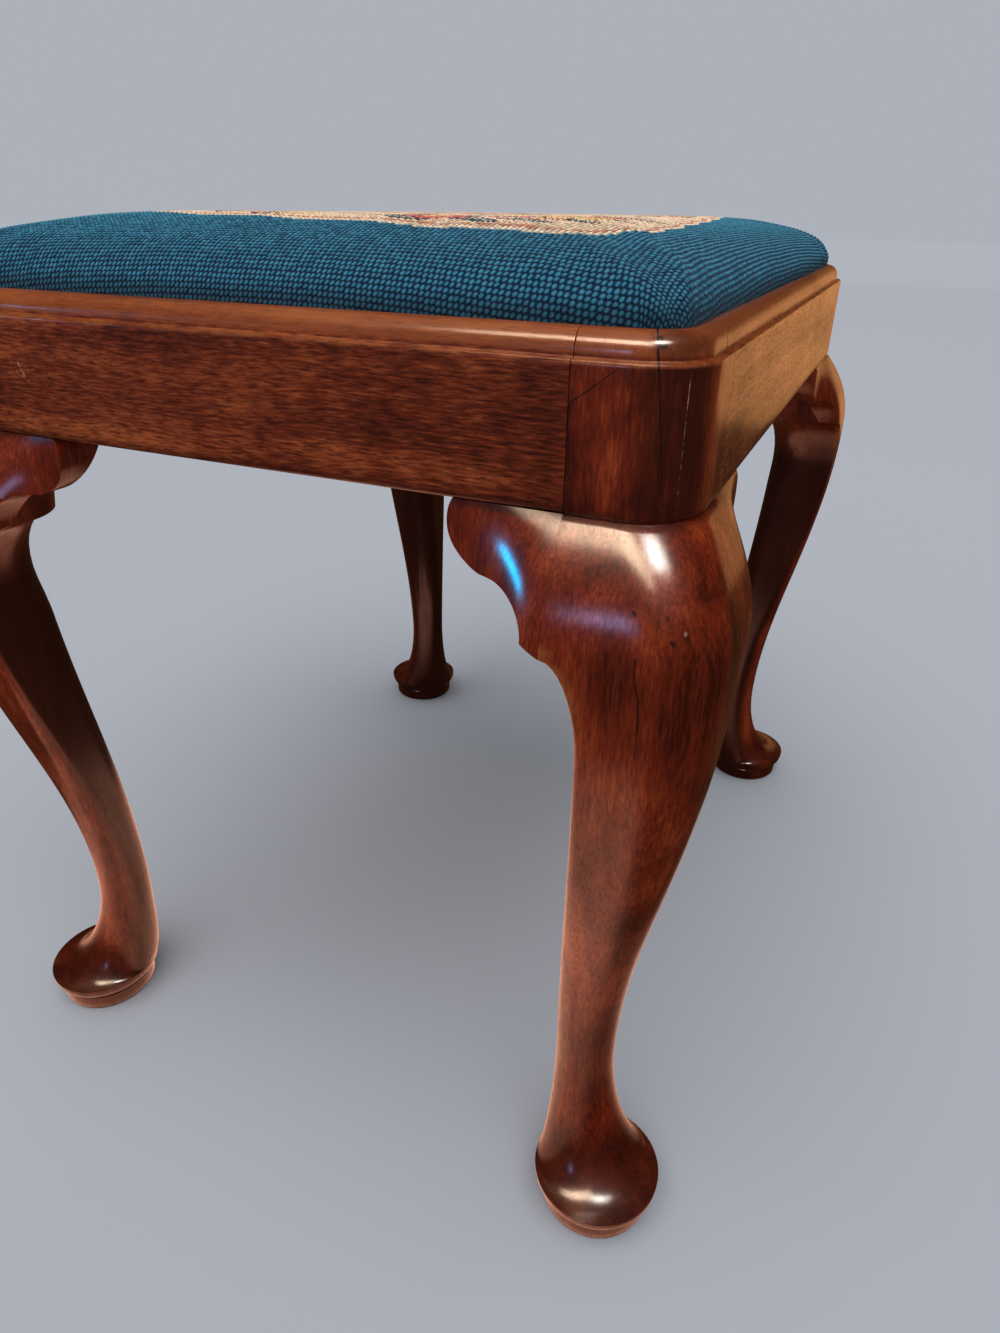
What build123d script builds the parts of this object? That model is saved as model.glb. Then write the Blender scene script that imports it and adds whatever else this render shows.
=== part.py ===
from build123d import *
from math import copysign, cos, pi, sin, sqrt
import os

# Upholstered stool with cabriole legs and a drop-in needlework seat.
# Millimetres. X runs along the short rails, Y along the long rails, +Z up.
# The origin is on the floor under the middle of the stool.

# Frame of rails and posts
SHORT_SPAN = 364.0         # over the outer faces, along X
LONG_SPAN = 462.0          # over the outer faces, along Y
FRAME_TOP = 429.0          # floor to the top of the lip
RAIL_HEIGHT = 59.0         # underside of a rail to the top of its lip
RAIL_THICK = 27.0
POST_WIDTH = 43.0
CORNER_ROUND = 25.0        # rounded outer corner of a post

# Lip moulding and the rebate behind it
LIP_HEIGHT = 9.0           # arris of the outer face to the top of the lip
LIP_LEDGE = 3.0            # flat step between the outer face and the lip
LIP_STEP = 2.0             # upright above the ledge, below the round
LIP_FLAT = 0.5             # flat between the round and the rebate
LIP_WIDTH = 10.5           # outer face to the rebate
REBATE_DEPTH = 18.0        # top of the lip to the rebate floor

# Tenons and mortises
TENON_THICK = 9.0
TENON_SET_BACK = 9.5       # outer face to the near cheek
TENON_SHOULDER = 6.0       # wood left below and above a tenon
TENON_APART = 1.5          # between the two tenons that meet in one post
MORTISE_ROOM = 0.4         # glue room past the end of a tenon

# Cabriole legs, measured outwards from the rail faces
KNEE_SWELL = 19.0
KNEE_DROP = 58.0           # underside of a rail to the fullest part of the knee
KNEE_BACK = 28.0           # outer face to the back of the leg below the brackets
KNEE_EDGE = 1.0            # rounding of the knee's side edges
BACK_ROUND = 16.0          # rounding of the leg's back edge, behind the brackets
HOLLOW_HEIGHT = 38.5       # hollow from the brackets down to the back of the leg
ANKLE_HEIGHT = 85.0
ANKLE_SET_BACK = 12.0
ANKLE_WIDTH = 29.0
FOOT_RADIUS = 32.0
FOOT_HEEL = 2.0            # foot's rim behind the back of the ankle
FOOT_RIM = 20.0            # floor to the upper edge of the rim
FOOT_EDGE = 8.0            # height of the rim's rounded edge
PAD_RADIUS = 27.5
NEARLY_ROUND = 0.985       # corner rounding of a round section, as a share of its half width
SHOULDER_STEPS = 3
HOLLOW_STEPS = 3
SHANK_STEPS = 5
FOOT_STEPS = 4
RIM_STEPS = 2
ARC_STEPS = 5              # flats in a rounded corner of a section
FLAT_ENOUGH = 1e-6         # twist of a facet that still counts as flat

# Knee brackets under the rails
EAR_REACH = 43.8           # post to the tip of the lobe
EAR_TOP = 42.0             # post to the end of the glue face under the rail
EAR_TIP_DROP = 11.0        # underside of the rail to the tip of the lobe
EAR_LOBE_REACH = 30.0      # post to the end of the lobe
EAR_LOBE_DROP = 25.5       # underside of the rail to the bottom of the lobe
EAR_COVE_REACH = 24.0      # post to the start of the cove
EAR_CUSP_REACH = 7.8
EAR_CUSP_DROP = 42.8
EAR_DROP = 46.5            # underside of the rail to the foot of the glue face on the leg
EAR_THICK = 27.0           # behind the rail's outer face
EAR_STEPS = 4
EAR_TIP_SWELL = 0.02       # share of the knee's swell left at the tip

# Corner blocks
BLOCK_REACH = 50.0         # along each rail, past the post
BLOCK_HEIGHT = 25.0
BLOCK_BELOW_REBATE = 8.0

# Drop-in seat: frame
SEAT_GAP = 0.5             # between the cover and the lip
SEAT_EASE = 0.2            # between the seat frame and the cover
COVER_THICK = 2.0
SEAT_RAIL_WIDTH = 55.0
SEAT_RAIL_THICK = 18.0

# Drop-in seat: webbing and hessian
WEB_WIDTH = 50.0
WEB_THICK = 1.6
WEB_MARGIN = 17.0          # outer edge of the seat frame to a strip's end
WEB_RAMP = 8.0             # length over which a strip climbs over another
LONG_WEBS = 3
SHORT_WEBS = 4
HESSIAN_THICK = 1.0
HESSIAN_MARGIN = 4.0       # seat frame's edge to the hessian's edge

# Drop-in seat: crown, stuffing and cover
CROWN_HEIGHT = 27.0        # above the seat frame
CROWN_RUN = 80.0           # from the edge to where the top is flat
CROWN_POWER = 2.6
CROWN_STEPS = 7
CROWN_CORNER = 70.0        # corner rounding at the top of the crown
STUFFING_GAP = 0.3         # between the stuffing and the cover
COVER_HEM = 36.0           # outer faces to the edge of the cloth turned under the seat frame

# Heights and places that follow
RAIL_BOTTOM = FRAME_TOP - RAIL_HEIGHT
ARRIS = FRAME_TOP - LIP_HEIGHT
REBATE_FLOOR = FRAME_TOP - REBATE_DEPTH
HALF_X = SHORT_SPAN / 2
HALF_Y = LONG_SPAN / 2
LIP_ROUND = min(LIP_WIDTH - LIP_LEDGE - LIP_FLAT, LIP_HEIGHT - LIP_STEP)
TENON_LENGTH = POST_WIDTH - TENON_SET_BACK - TENON_THICK - TENON_APART
TENON_LOW = RAIL_BOTTOM + TENON_SHOULDER
TENON_HEIGHT = REBATE_FLOOR - TENON_SHOULDER - TENON_LOW
KNEE_HEIGHT = RAIL_BOTTOM - KNEE_DROP
HOLLOW_FOOT = RAIL_BOTTOM - EAR_DROP - HOLLOW_HEIGHT
ANKLE_BACK = ANKLE_SET_BACK + ANKLE_WIDTH
FOOT_AXIS = FOOT_RADIUS - ANKLE_BACK - FOOT_HEEL
BLOCK_TOP = REBATE_FLOOR - BLOCK_BELOW_REBATE
COVER_INSET = LIP_WIDTH + SEAT_GAP
SEAT_INSET = COVER_INSET + COVER_THICK + SEAT_EASE
SEAT_X = SHORT_SPAN - 2 * SEAT_INSET
SEAT_Y = LONG_SPAN - 2 * SEAT_INSET
SEAT_CORNER = CORNER_ROUND - SEAT_INSET
SEAT_BOTTOM = REBATE_FLOOR + COVER_THICK
SEAT_TOP = SEAT_BOTTOM + SEAT_RAIL_THICK
HESSIAN_BOTTOM = SEAT_TOP + 2 * WEB_THICK
CORNERS = {
    "rear_right": (HALF_X, HALF_Y, 0),
    "rear_left": (-HALF_X, HALF_Y, 90),
    "front_left": (-HALF_X, -HALF_Y, 180),
    "front_right": (HALF_X, -HALF_Y, 270),
}
SIDES = {
    "front": (0, -HALF_Y, 0, SHORT_SPAN),
    "right": (HALF_X, 0, 90, LONG_SPAN),
    "rear": (0, HALF_Y, 180, SHORT_SPAN),
    "left": (-HALF_X, 0, 270, LONG_SPAN),
}
QUARTER_ARC = 1 - 1 / sqrt(2)

os.makedirs("parts", exist_ok=True)


def save(name, shape):
    export_step(shape, f"parts/{name}.step")


def block(x, y, z):
    """Box between the given (low, high) pairs."""
    size = [high - low for low, high in (x, y, z)]
    middle = [(high + low) / 2 for low, high in (x, y, z)]
    return Pos(*middle) * Box(*size)


def ease(t):
    """Smooth step from 0 to 1."""
    return (1 - cos(pi * t)) / 2


def ring(z, x, y, roundings):
    """Level outline between the (low, high) pairs, with rounded corners from the far one anticlockwise."""
    points = []
    for quarter, corner_round in enumerate(roundings):
        towards = pi / 2 * (quarter + 1 / 2)
        middle_x = x[cos(towards) > 0] - copysign(corner_round, cos(towards))
        middle_y = y[sin(towards) > 0] - copysign(corner_round, sin(towards))
        for step in range(ARC_STEPS + 1):
            turn = pi / 2 * (quarter + step / ARC_STEPS)
            points.append((middle_x + corner_round * cos(turn), middle_y + corner_round * sin(turn), z))
    return points


def skin(rings):
    """Solid with flat facets between rings of points; a twisted facet is split along its diagonal."""
    outlines = [rings[0], rings[-1]]
    for near, far in zip(rings, rings[1:]):
        for index in range(len(near)):
            corners = near[index - 1], near[index], far[index], far[index - 1]
            a, b, c, d = (Vector(*corner) for corner in corners)
            twist = (b - a).cross(c - a).dot(d - a)
            outlines += [(a, b, c, d)] if abs(twist) < FLAT_ENOUGH else [(a, b, c), (a, c, d)]
    return Solid(Shell([make_face(Polyline(*outline, close=True)) for outline in outlines]))


# Cabriole legs. A leg stands at the origin, its rail faces on the planes X=0 and Y=0.
def knee_swell(z):
    """Outward swell of the shoulder between the rail's underside and the knee."""
    return KNEE_SWELL * sin(pi / 2 * (RAIL_BOTTOM - z) / KNEE_DROP)


def shank_share(z):
    """Share of the way from the knee down to the ankle."""
    return min(1, max(0, (KNEE_HEIGHT - z) / (KNEE_HEIGHT - ANKLE_HEIGHT)))


def outer_line(z):
    if z > KNEE_HEIGHT:
        return knee_swell(z)
    return KNEE_SWELL - (KNEE_SWELL + ANKLE_SET_BACK) * ease(shank_share(z))


def inner_line(z):
    """Back of the leg, hollowed under the brackets."""
    back = KNEE_BACK + (ANKLE_BACK - KNEE_BACK) * ease(shank_share(z))
    rise = min(1, max(0, (z - HOLLOW_FOOT) / HOLLOW_HEIGHT))
    return -back - (POST_WIDTH - KNEE_BACK) * (1 - sqrt(1 - rise ** 2))


def leg_sections():
    """Sections of the leg's pattern, from the underside of the rails down to the floor."""
    heights = [RAIL_BOTTOM - EAR_DROP * step / SHOULDER_STEPS for step in range(SHOULDER_STEPS)]
    for step in range(HOLLOW_STEPS):
        heights.append(HOLLOW_FOOT + HOLLOW_HEIGHT * cos(pi / 2 * step / HOLLOW_STEPS))
    for step in range(SHANK_STEPS):
        heights.append(HOLLOW_FOOT + (ANKLE_HEIGHT - HOLLOW_FOOT) * step / SHANK_STEPS)
    ankle_round = ANKLE_WIDTH / 2 * NEARLY_ROUND
    for z in heights:
        t = shank_share(z)
        front, edge, back = (start + (ankle_round - start) * t
                             for start in (CORNER_ROUND, KNEE_EDGE, BACK_ROUND))
        line = (inner_line(z), outer_line(z))
        yield ring(z, line, line, (front, edge, back, edge))
    for z, inner, outer in foot_lines():
        rounding = (outer - inner) / 2 * NEARLY_ROUND
        yield ring(z, (inner, outer), (inner, outer), [rounding] * 4)


def foot_lines():
    """Heights, inner and outer lines of the ankle, the foot's rim and the pad under it."""
    for step in range(FOOT_STEPS):
        turn = pi / 2 * step / FOOT_STEPS
        z = ANKLE_HEIGHT - (ANKLE_HEIGHT - FOOT_RIM) * sin(turn)
        spread = FOOT_AXIS + FOOT_RADIUS + ANKLE_SET_BACK
        yield z, -ANKLE_BACK - FOOT_HEEL * (1 - cos(turn)), spread * (1 - cos(turn)) - ANKLE_SET_BACK
    for step in range(RIM_STEPS + 1):
        turn = pi / 2 * step / RIM_STEPS
        radius = PAD_RADIUS + (FOOT_RADIUS - PAD_RADIUS) * cos(turn)
        yield FOOT_RIM - FOOT_EDGE * sin(turn), FOOT_AXIS - radius, FOOT_AXIS + radius
    yield 0, FOOT_AXIS - PAD_RADIUS, FOOT_AXIS + PAD_RADIUS


def post_outline(inset):
    """Plan of the post between an inset from its outer faces and its back."""
    round_corner = CORNER_ROUND - inset
    q = round_corner * QUARTER_ARC
    low, high = -POST_WIDTH, -inset
    return make_face([
        Line((low, low), (high, low)),
        Line((high, low), (high, high - round_corner)),
        ThreePointArc((high, high - round_corner), (high - q, high - q), (high - round_corner, high)),
        Line((high - round_corner, high), (low, high)),
        Line((low, high), (low, low)),
    ])


def post():
    """Corner post with the lip moulding round its outer corner and the seat's rebate."""
    shaft = Pos(0, 0, RAIL_BOTTOM) * extrude(post_outline(0), ARRIS - RAIL_BOTTOM)
    lip = Pos(0, 0, ARRIS) * extrude(post_outline(LIP_LEDGE), LIP_HEIGHT)
    back = -POST_WIDTH + LIP_FLAT
    top_edges = lip.edges().group_by(Axis.Z)[-1]
    outer_edges = [edge for edge in top_edges if min(edge.center().X, edge.center().Y) > back]
    lip = fillet(outer_edges, LIP_ROUND)
    rebate = Pos(0, 0, REBATE_FLOOR) * extrude(post_outline(LIP_WIDTH), REBATE_DEPTH)
    return shaft + lip - rebate


def mortise():
    """Mortise for the rail that runs away along X."""
    depth = TENON_LENGTH + MORTISE_ROOM
    return block((-POST_WIDTH, -POST_WIDTH + depth),
                 (-TENON_SET_BACK - TENON_THICK, -TENON_SET_BACK),
                 (TENON_LOW, TENON_LOW + TENON_HEIGHT))


def leg():
    shank = skin(list(leg_sections()))
    mortise_x = mortise()
    mortise_y = mirror(mortise_x, Plane(origin=(0, 0, 0), z_dir=(1, -1, 0)))
    return shank + post() - mortise_x - mortise_y


# Seat rails. A rail lies along X, its outer face on the plane Y=0 and its inside towards +Y.
def rail(span):
    length = span - 2 * POST_WIDTH
    arc_mid = LIP_ROUND * QUARTER_ARC
    profile = make_face([
        Line((0, RAIL_BOTTOM), (0, ARRIS)),
        Line((0, ARRIS), (LIP_LEDGE, ARRIS)),
        Line((LIP_LEDGE, ARRIS), (LIP_LEDGE, FRAME_TOP - LIP_ROUND)),
        ThreePointArc((LIP_LEDGE, FRAME_TOP - LIP_ROUND),
                      (LIP_LEDGE + arc_mid, FRAME_TOP - arc_mid),
                      (LIP_LEDGE + LIP_ROUND, FRAME_TOP)),
        Line((LIP_LEDGE + LIP_ROUND, FRAME_TOP), (LIP_WIDTH, FRAME_TOP)),
        Line((LIP_WIDTH, FRAME_TOP), (LIP_WIDTH, REBATE_FLOOR)),
        Line((LIP_WIDTH, REBATE_FLOOR), (RAIL_THICK, REBATE_FLOOR)),
        Line((RAIL_THICK, REBATE_FLOOR), (RAIL_THICK, RAIL_BOTTOM)),
        Line((RAIL_THICK, RAIL_BOTTOM), (0, RAIL_BOTTOM)),
    ])
    bar = extrude(Plane.YZ * profile, length / 2, both=True)
    reach = length / 2 + TENON_LENGTH
    tenons = block((-reach, reach), (TENON_SET_BACK, TENON_SET_BACK + TENON_THICK),
                   (TENON_LOW, TENON_LOW + TENON_HEIGHT))
    return bar + tenons


# Knee brackets. A bracket's glue face is on the plane X=0 and its lobe points along -X.
def ear_slice(reach):
    """Cross-section of the bracket's blank, swelling like the knee and fading to the rail's face."""
    fade = max(EAR_TIP_SWELL, 1 - ease(reach / EAR_REACH))
    heights = [RAIL_BOTTOM - EAR_DROP * step / SHOULDER_STEPS for step in range(SHOULDER_STEPS + 1)]
    front = [(-reach, -knee_swell(z) * fade, z) for z in heights]
    return front + [(-reach, EAR_THICK, heights[-1]), (-reach, EAR_THICK, RAIL_BOTTOM)]


def ear_outline():
    """Scrolled outline: lobe, cove, cusp and the start of the leg's hollow."""
    def at(reach, drop):
        return (-reach, RAIL_BOTTOM - drop)

    cove_reach = EAR_CUSP_REACH + (EAR_COVE_REACH - EAR_CUSP_REACH) * QUARTER_ARC
    cove_drop = EAR_LOBE_DROP + (EAR_CUSP_DROP - EAR_LOBE_DROP) * QUARTER_ARC
    return make_face([
        Line(at(0, EAR_DROP), at(0, 0)),
        Line(at(0, 0), at(EAR_TOP, 0)),
        ThreePointArc(at(EAR_TOP, 0), at(EAR_REACH, EAR_TIP_DROP), at(EAR_LOBE_REACH, EAR_LOBE_DROP)),
        Line(at(EAR_LOBE_REACH, EAR_LOBE_DROP), at(EAR_COVE_REACH, EAR_LOBE_DROP)),
        ThreePointArc(at(EAR_COVE_REACH, EAR_LOBE_DROP), at(cove_reach, cove_drop),
                      at(EAR_CUSP_REACH, EAR_CUSP_DROP)),
        Line(at(EAR_CUSP_REACH, EAR_CUSP_DROP), at(0, EAR_DROP)),
    ])


def ear():
    blank = skin([ear_slice(EAR_REACH * step / EAR_STEPS) for step in range(EAR_STEPS + 1)])
    return blank & extrude(Plane.XZ * ear_outline(), EAR_THICK + KNEE_SWELL, both=True)


# Corner blocks, in the same place as a leg
def corner_block():
    post_side, rail_side = -POST_WIDTH, -RAIL_THICK
    tip = -POST_WIDTH - BLOCK_REACH
    plan = make_face(Polyline(
        (post_side, rail_side), (tip, rail_side), (rail_side, tip), (rail_side, post_side),
        (post_side, post_side), close=True,
    ))
    return Pos(0, 0, BLOCK_TOP - BLOCK_HEIGHT) * extrude(plan, BLOCK_HEIGHT)


# Drop-in seat frame, half-lapped: the short rails lie over the long ones
def seat_outline(inset, z, height):
    outline = RectangleRounded(SEAT_X - 2 * inset, SEAT_Y - 2 * inset, SEAT_CORNER - inset)
    return Pos(0, 0, z) * extrude(outline, height)


def seat_rails():
    lap = (SEAT_BOTTOM + SEAT_TOP) / 2
    x, y = SEAT_X / 2, SEAT_Y / 2
    inner_x, inner_y = x - SEAT_RAIL_WIDTH, y - SEAT_RAIL_WIDTH
    rounded = seat_outline(0, SEAT_BOTTOM, SEAT_RAIL_THICK)
    rails = {}
    for name, side in (("left", -1), ("right", 1)):
        across = sorted((side * inner_x, side * x))
        rails[name] = (block(across, (-inner_y, inner_y), (SEAT_BOTTOM, SEAT_TOP))
                       + block(across, (-y, y), (SEAT_BOTTOM, lap))) & rounded
    for name, side in (("front", -1), ("rear", 1)):
        across = sorted((side * inner_y, side * y))
        rails[name] = (block((-inner_x, inner_x), across, (SEAT_BOTTOM, SEAT_TOP))
                       + block((-x, x), across, (lap, SEAT_TOP))) & rounded
    return rails


# Webbing. A strip lies along X and passes over or under each strip that crosses it.
def web_places(count, opening):
    pitch = opening / count
    return [pitch * (index - (count - 1) / 2) for index in range(count)]


def web_strip(reach, crossings, rises):
    """Strip from -reach to reach that rises over the crossings marked in rises."""
    line = [(-reach, 0)]
    for place, rise in zip(crossings, rises):
        if rise:
            half = WEB_WIDTH / 2
            line += [(place - half - WEB_RAMP, 0), (place - half, WEB_THICK),
                     (place + half, WEB_THICK), (place + half + WEB_RAMP, 0)]
    line.append((reach, 0))
    upper = [(x, z + WEB_THICK) for x, z in reversed(line)]
    profile = make_face(Polyline(*line, *upper, close=True))
    return Pos(0, 0, SEAT_TOP) * extrude(Plane.XZ * profile, WEB_WIDTH / 2, both=True)


# Crowned form of the seat, drawn in by an offset from the outside of the cover
def crown_inset(t):
    """Share of the run that the crown has gone inwards at a share t of its height."""
    return 1 - (1 - t ** CROWN_POWER) ** (1 / CROWN_POWER)


def crown(offset, bottom):
    x = HALF_X - COVER_INSET - offset
    y = HALF_Y - COVER_INSET - offset
    corner = CORNER_ROUND - COVER_INSET - offset
    height = CROWN_HEIGHT - offset
    slices = [ring(bottom, (-x, x), (-y, y), [corner] * 4)]
    for step in range(CROWN_STEPS + 1):
        t = sin(pi / 2 * step / CROWN_STEPS)
        inset = CROWN_RUN * crown_inset(t)
        rounding = corner + (CROWN_CORNER - corner) * inset / CROWN_RUN
        across, along = (inset - x, x - inset), (inset - y, y - inset)
        slices.append(ring(SEAT_TOP + height * t, across, along, [rounding] * 4))
    return skin(slices)


def cover():
    inside = RectangleRounded(SHORT_SPAN - 2 * COVER_HEM, LONG_SPAN - 2 * COVER_HEM, SEAT_CORNER)
    opening = Pos(0, 0, REBATE_FLOOR) * extrude(inside, COVER_THICK)
    return crown(0, REBATE_FLOOR) - crown(COVER_THICK, SEAT_BOTTOM) - opening


def stuffing():
    pad = crown(COVER_THICK + STUFFING_GAP, SEAT_BOTTOM)
    bottom = HESSIAN_BOTTOM + HESSIAN_THICK
    return pad & block((-HALF_X, HALF_X), (-HALF_Y, HALF_Y), (bottom, SEAT_TOP + CROWN_HEIGHT))


# Frame: legs and corner blocks at the corners, rails and brackets along the sides
one_leg, one_block = leg(), corner_block()
for name, (x, y, turn) in CORNERS.items():
    place = Pos(x, y, 0) * Rot(0, 0, turn)
    save(f"leg_{name}", place * one_leg)
    save(f"corner_block_{name}", place * one_block)

left_hand_ear = ear()
right_hand_ear = mirror(left_hand_ear, Plane.YZ)
for name, (x, y, turn, span) in SIDES.items():
    place = Pos(x, y, 0) * Rot(0, 0, turn)
    to_post = span / 2 - POST_WIDTH
    save(f"seat_rail_{name}", place * rail(span))
    save(f"knee_bracket_{name}_a", place * Pos(to_post, 0, 0) * left_hand_ear)
    save(f"knee_bracket_{name}_b", place * Pos(-to_post, 0, 0) * right_hand_ear)

# Drop-in seat: frame, webbing, hessian, stuffing and cover
for name, seat_rail in seat_rails().items():
    save(f"seat_frame_{name}", seat_rail)

long_places = web_places(LONG_WEBS, SEAT_X - 2 * SEAT_RAIL_WIDTH)
short_places = web_places(SHORT_WEBS, SEAT_Y - 2 * SEAT_RAIL_WIDTH)
reach_x = SEAT_X / 2 - WEB_MARGIN
reach_y = SEAT_Y / 2 - WEB_MARGIN
for index, x in enumerate(long_places):
    rises = [(index + other) % 2 == 0 for other in range(SHORT_WEBS)]
    strip = web_strip(reach_y, short_places, rises)
    save(f"webbing_long_{index + 1}", Pos(x, 0, 0) * Rot(0, 0, 90) * strip)
for index, y in enumerate(short_places):
    rises = [(index + other) % 2 == 1 for other in range(LONG_WEBS)]
    strip = web_strip(reach_x, long_places, rises)
    save(f"webbing_short_{index + 1}", Pos(0, y, 0) * strip)

save("hessian", seat_outline(HESSIAN_MARGIN, HESSIAN_BOTTOM, HESSIAN_THICK))
save("stuffing", stuffing())
save("needlework_cover", cover())
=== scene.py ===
"""Dressed model of the upholstered stool: polished mahogany frame and a drop-in needlework seat."""
import math

import bmesh
import bpy
import numpy as np
from mathutils import Matrix, Vector, noise


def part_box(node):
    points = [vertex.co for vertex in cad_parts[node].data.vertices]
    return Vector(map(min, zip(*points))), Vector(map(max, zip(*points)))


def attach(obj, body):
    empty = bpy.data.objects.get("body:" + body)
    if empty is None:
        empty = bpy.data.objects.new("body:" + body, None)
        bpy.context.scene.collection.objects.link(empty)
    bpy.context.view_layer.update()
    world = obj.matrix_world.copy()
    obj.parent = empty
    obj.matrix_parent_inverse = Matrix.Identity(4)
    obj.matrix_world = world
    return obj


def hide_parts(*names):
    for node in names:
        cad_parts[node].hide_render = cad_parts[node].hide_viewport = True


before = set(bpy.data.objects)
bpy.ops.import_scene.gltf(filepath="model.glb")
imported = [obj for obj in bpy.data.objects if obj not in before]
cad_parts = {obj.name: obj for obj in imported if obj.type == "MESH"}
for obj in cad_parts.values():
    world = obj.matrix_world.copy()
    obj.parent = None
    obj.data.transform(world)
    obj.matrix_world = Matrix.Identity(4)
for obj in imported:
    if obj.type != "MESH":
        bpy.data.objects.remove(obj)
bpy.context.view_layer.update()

bl_info = {
    "name": "Upholstered stool",
    "version": (1, 0, 0),
    "blender": (4, 0, 0),
    "location": "View3D > Sidebar > Stool",
    "description": "Models the stool's frame, brackets, webbing, hessian and needlework seat",
    "category": "Add Mesh",
}

MM = 0.001


def span_of(node):
    """Low and high corners of a node of the frame, in millimetres."""
    low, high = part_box(node)
    return [[value / MM for value in corner] for corner in (low, high)]


# Sizes read from the frame
RAIL_LOW, RAIL_HIGH = span_of("seat_rail_right")
FRONT_LOW = span_of("seat_rail_front")[0]
COVER_HIGH = span_of("needlework_cover")[1]
SEAT_LOW, SEAT_HIGH = span_of("seat_frame_left")
HESSIAN_LOW, HESSIAN_HIGH = span_of("hessian")
HALF_X, HALF_Y = RAIL_HIGH[0], -FRONT_LOW[1]
FRAME_TOP, RAIL_BOTTOM = RAIL_HIGH[2], RAIL_LOW[2]
RAIL_THICK = RAIL_HIGH[0] - RAIL_LOW[0]
COVER_X, COVER_Y = COVER_HIGH[0], COVER_HIGH[1]
SEAT_BOTTOM, SEAT_TOP = SEAT_LOW[2], SEAT_HIGH[2]

# Posts, lip and rebate
POST_WIDTH, CORNER_ROUND, POST_EDGE, POST_FOOT = 43.0, 25.0, 0.5, 366.0
LIP_HEIGHT, LIP_LEDGE, LIP_WIDTH, LIP_ROUND = 9.0, 3.0, 10.5, 7.0
REBATE_DEPTH = 18.0
ARRIS = FRAME_TOP - LIP_HEIGHT
REBATE_FLOOR = FRAME_TOP - REBATE_DEPTH
RAIL_STEPS, RAIL_GAP = 30, 0.12

# Cabriole legs
KNEE_SWELL, KNEE_DROP, KNEE_BACK, KNEE_EDGE = 19.0, 58.0, 28.0, 0.5
SHOULDER_DROP, SHOULDER_TUCK = 50.0, 0.7
BACK_ROUND, HOLLOW_HEIGHT, HOLLOW_FOOT = 16.0, 38.5, 285.0
CARVE_DEPTH, CARVE_TOP, CARVE_RUN, CARVE_FOOT, CARVE_FADE = 15.0, RAIL_BOTTOM - 4, 43.0, 270.0, 50.0
GLUED_EDGE, NEARLY_ROUND = 0.08, 0.985
ANKLE_HEIGHT, ANKLE_SET_BACK, ANKLE_WIDTH = 85.0, 12.0, 29.0
FOOT_RADIUS, FOOT_AXIS, FOOT_HEEL, FOOT_RIM, FOOT_EDGE, PAD_RADIUS = 32.0, -11.0, 2.0, 20.0, 8.0, 27.5
KNEE_HEIGHT = RAIL_BOTTOM - KNEE_DROP
ANKLE_BACK = ANKLE_SET_BACK + ANKLE_WIDTH
# Inner faces below this height get painted shade with dark old polish
DARK_BELOW, DARK_FADE = 322.0, 30.0
RUBBED_FROM, RUBBED_FADE, RUBBED_WIDTH = 140.0, 90.0, 0.9

# Knee brackets
EAR_REACH, EAR_TOP, EAR_TIP_DROP, EAR_TIP_SWELL = 43.8, 42.0, 11.0, 0.02
EAR_LOBE_REACH, EAR_LOBE_DROP, EAR_COVE_REACH = 30.0, 25.5, 24.0
EAR_CUSP_REACH, EAR_CUSP_DROP, EAR_DROP = 7.8, 42.8, 46.5
EAR_THICK, EAR_FOOT_BACK = 27.0, -8.0

# Drop-in seat
CROWN_HEIGHT, CROWN_RUN, CROWN_POWER = 27.0, 80.0, 2.6
COVER_CORNER, CROWN_CORNER, HEM_WIDTH = 14.0, 70.0, 25.0
PAD_LOWER, PAD_SMALLER, PAD_SHOULDER = 1.2, 0.7, 92.0
STUFFING_FRAMES, STUFFING_SHARE = 20, 0.4
HESSIAN_CORNER = 7.8
WEB_RAMP, WEB_STEP, WEB_PLACES, WEB_EASE = 8.0, 3, 12, 0.04
TUCK_X, TUCK_Y, TUCK_DEPTH = 150, 198, 0.9
TACK_LINE, TACK_APART, TACK_END = 31.0, 24.0, 12.0

# Way from the middle and turn of each corner and side
CORNERS = {"rear_right": (1, 1, 0), "rear_left": (-1, 1, 90), "front_left": (-1, -1, 180), "front_right": (1, -1, 270)}
SIDES = {"front": (0, -1, 0), "right": (1, 0, 90), "rear": (0, 1, 180), "left": (-1, 0, 270)}


def ease(t):
    """Smooth step from 0 to 1."""
    return (1 - math.cos(math.pi * t)) / 2


def clamp(value):
    return min(1.0, max(0.0, value))


# Settings that a user would change
def colour_setting(label, hint, value):
    return bpy.props.FloatVectorProperty(name=label, description=hint, subtype="COLOR", size=4, default=(*value, 1))


def number_setting(label, hint, value, **kind):
    return bpy.props.FloatProperty(name=label, description=hint, default=value, **{"min": 0, **kind})


class WoodSettings(bpy.types.PropertyGroup):
    """Colours and wear of the polished frame"""

    dark: colour_setting("Dark grain", "Darkest colour of the mahogany", (0.042, 0.0050, 0.0011))
    middle: colour_setting("Middle grain", "Main colour of the mahogany", (0.152, 0.0210, 0.0048))
    light: colour_setting("Light grain", "Lightest colour of the mahogany", (0.360, 0.078, 0.0170))
    # Worn wood, also used as a painted highlight on the lip and the rubbed edges
    worn: colour_setting("Worn edge", "Bare wood along rubbed edges", (0.300, 0.076, 0.0190))
    waver: number_setting("Waver", "Unevenness of the hand-planed faces in millimetres", 0.14)


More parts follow.
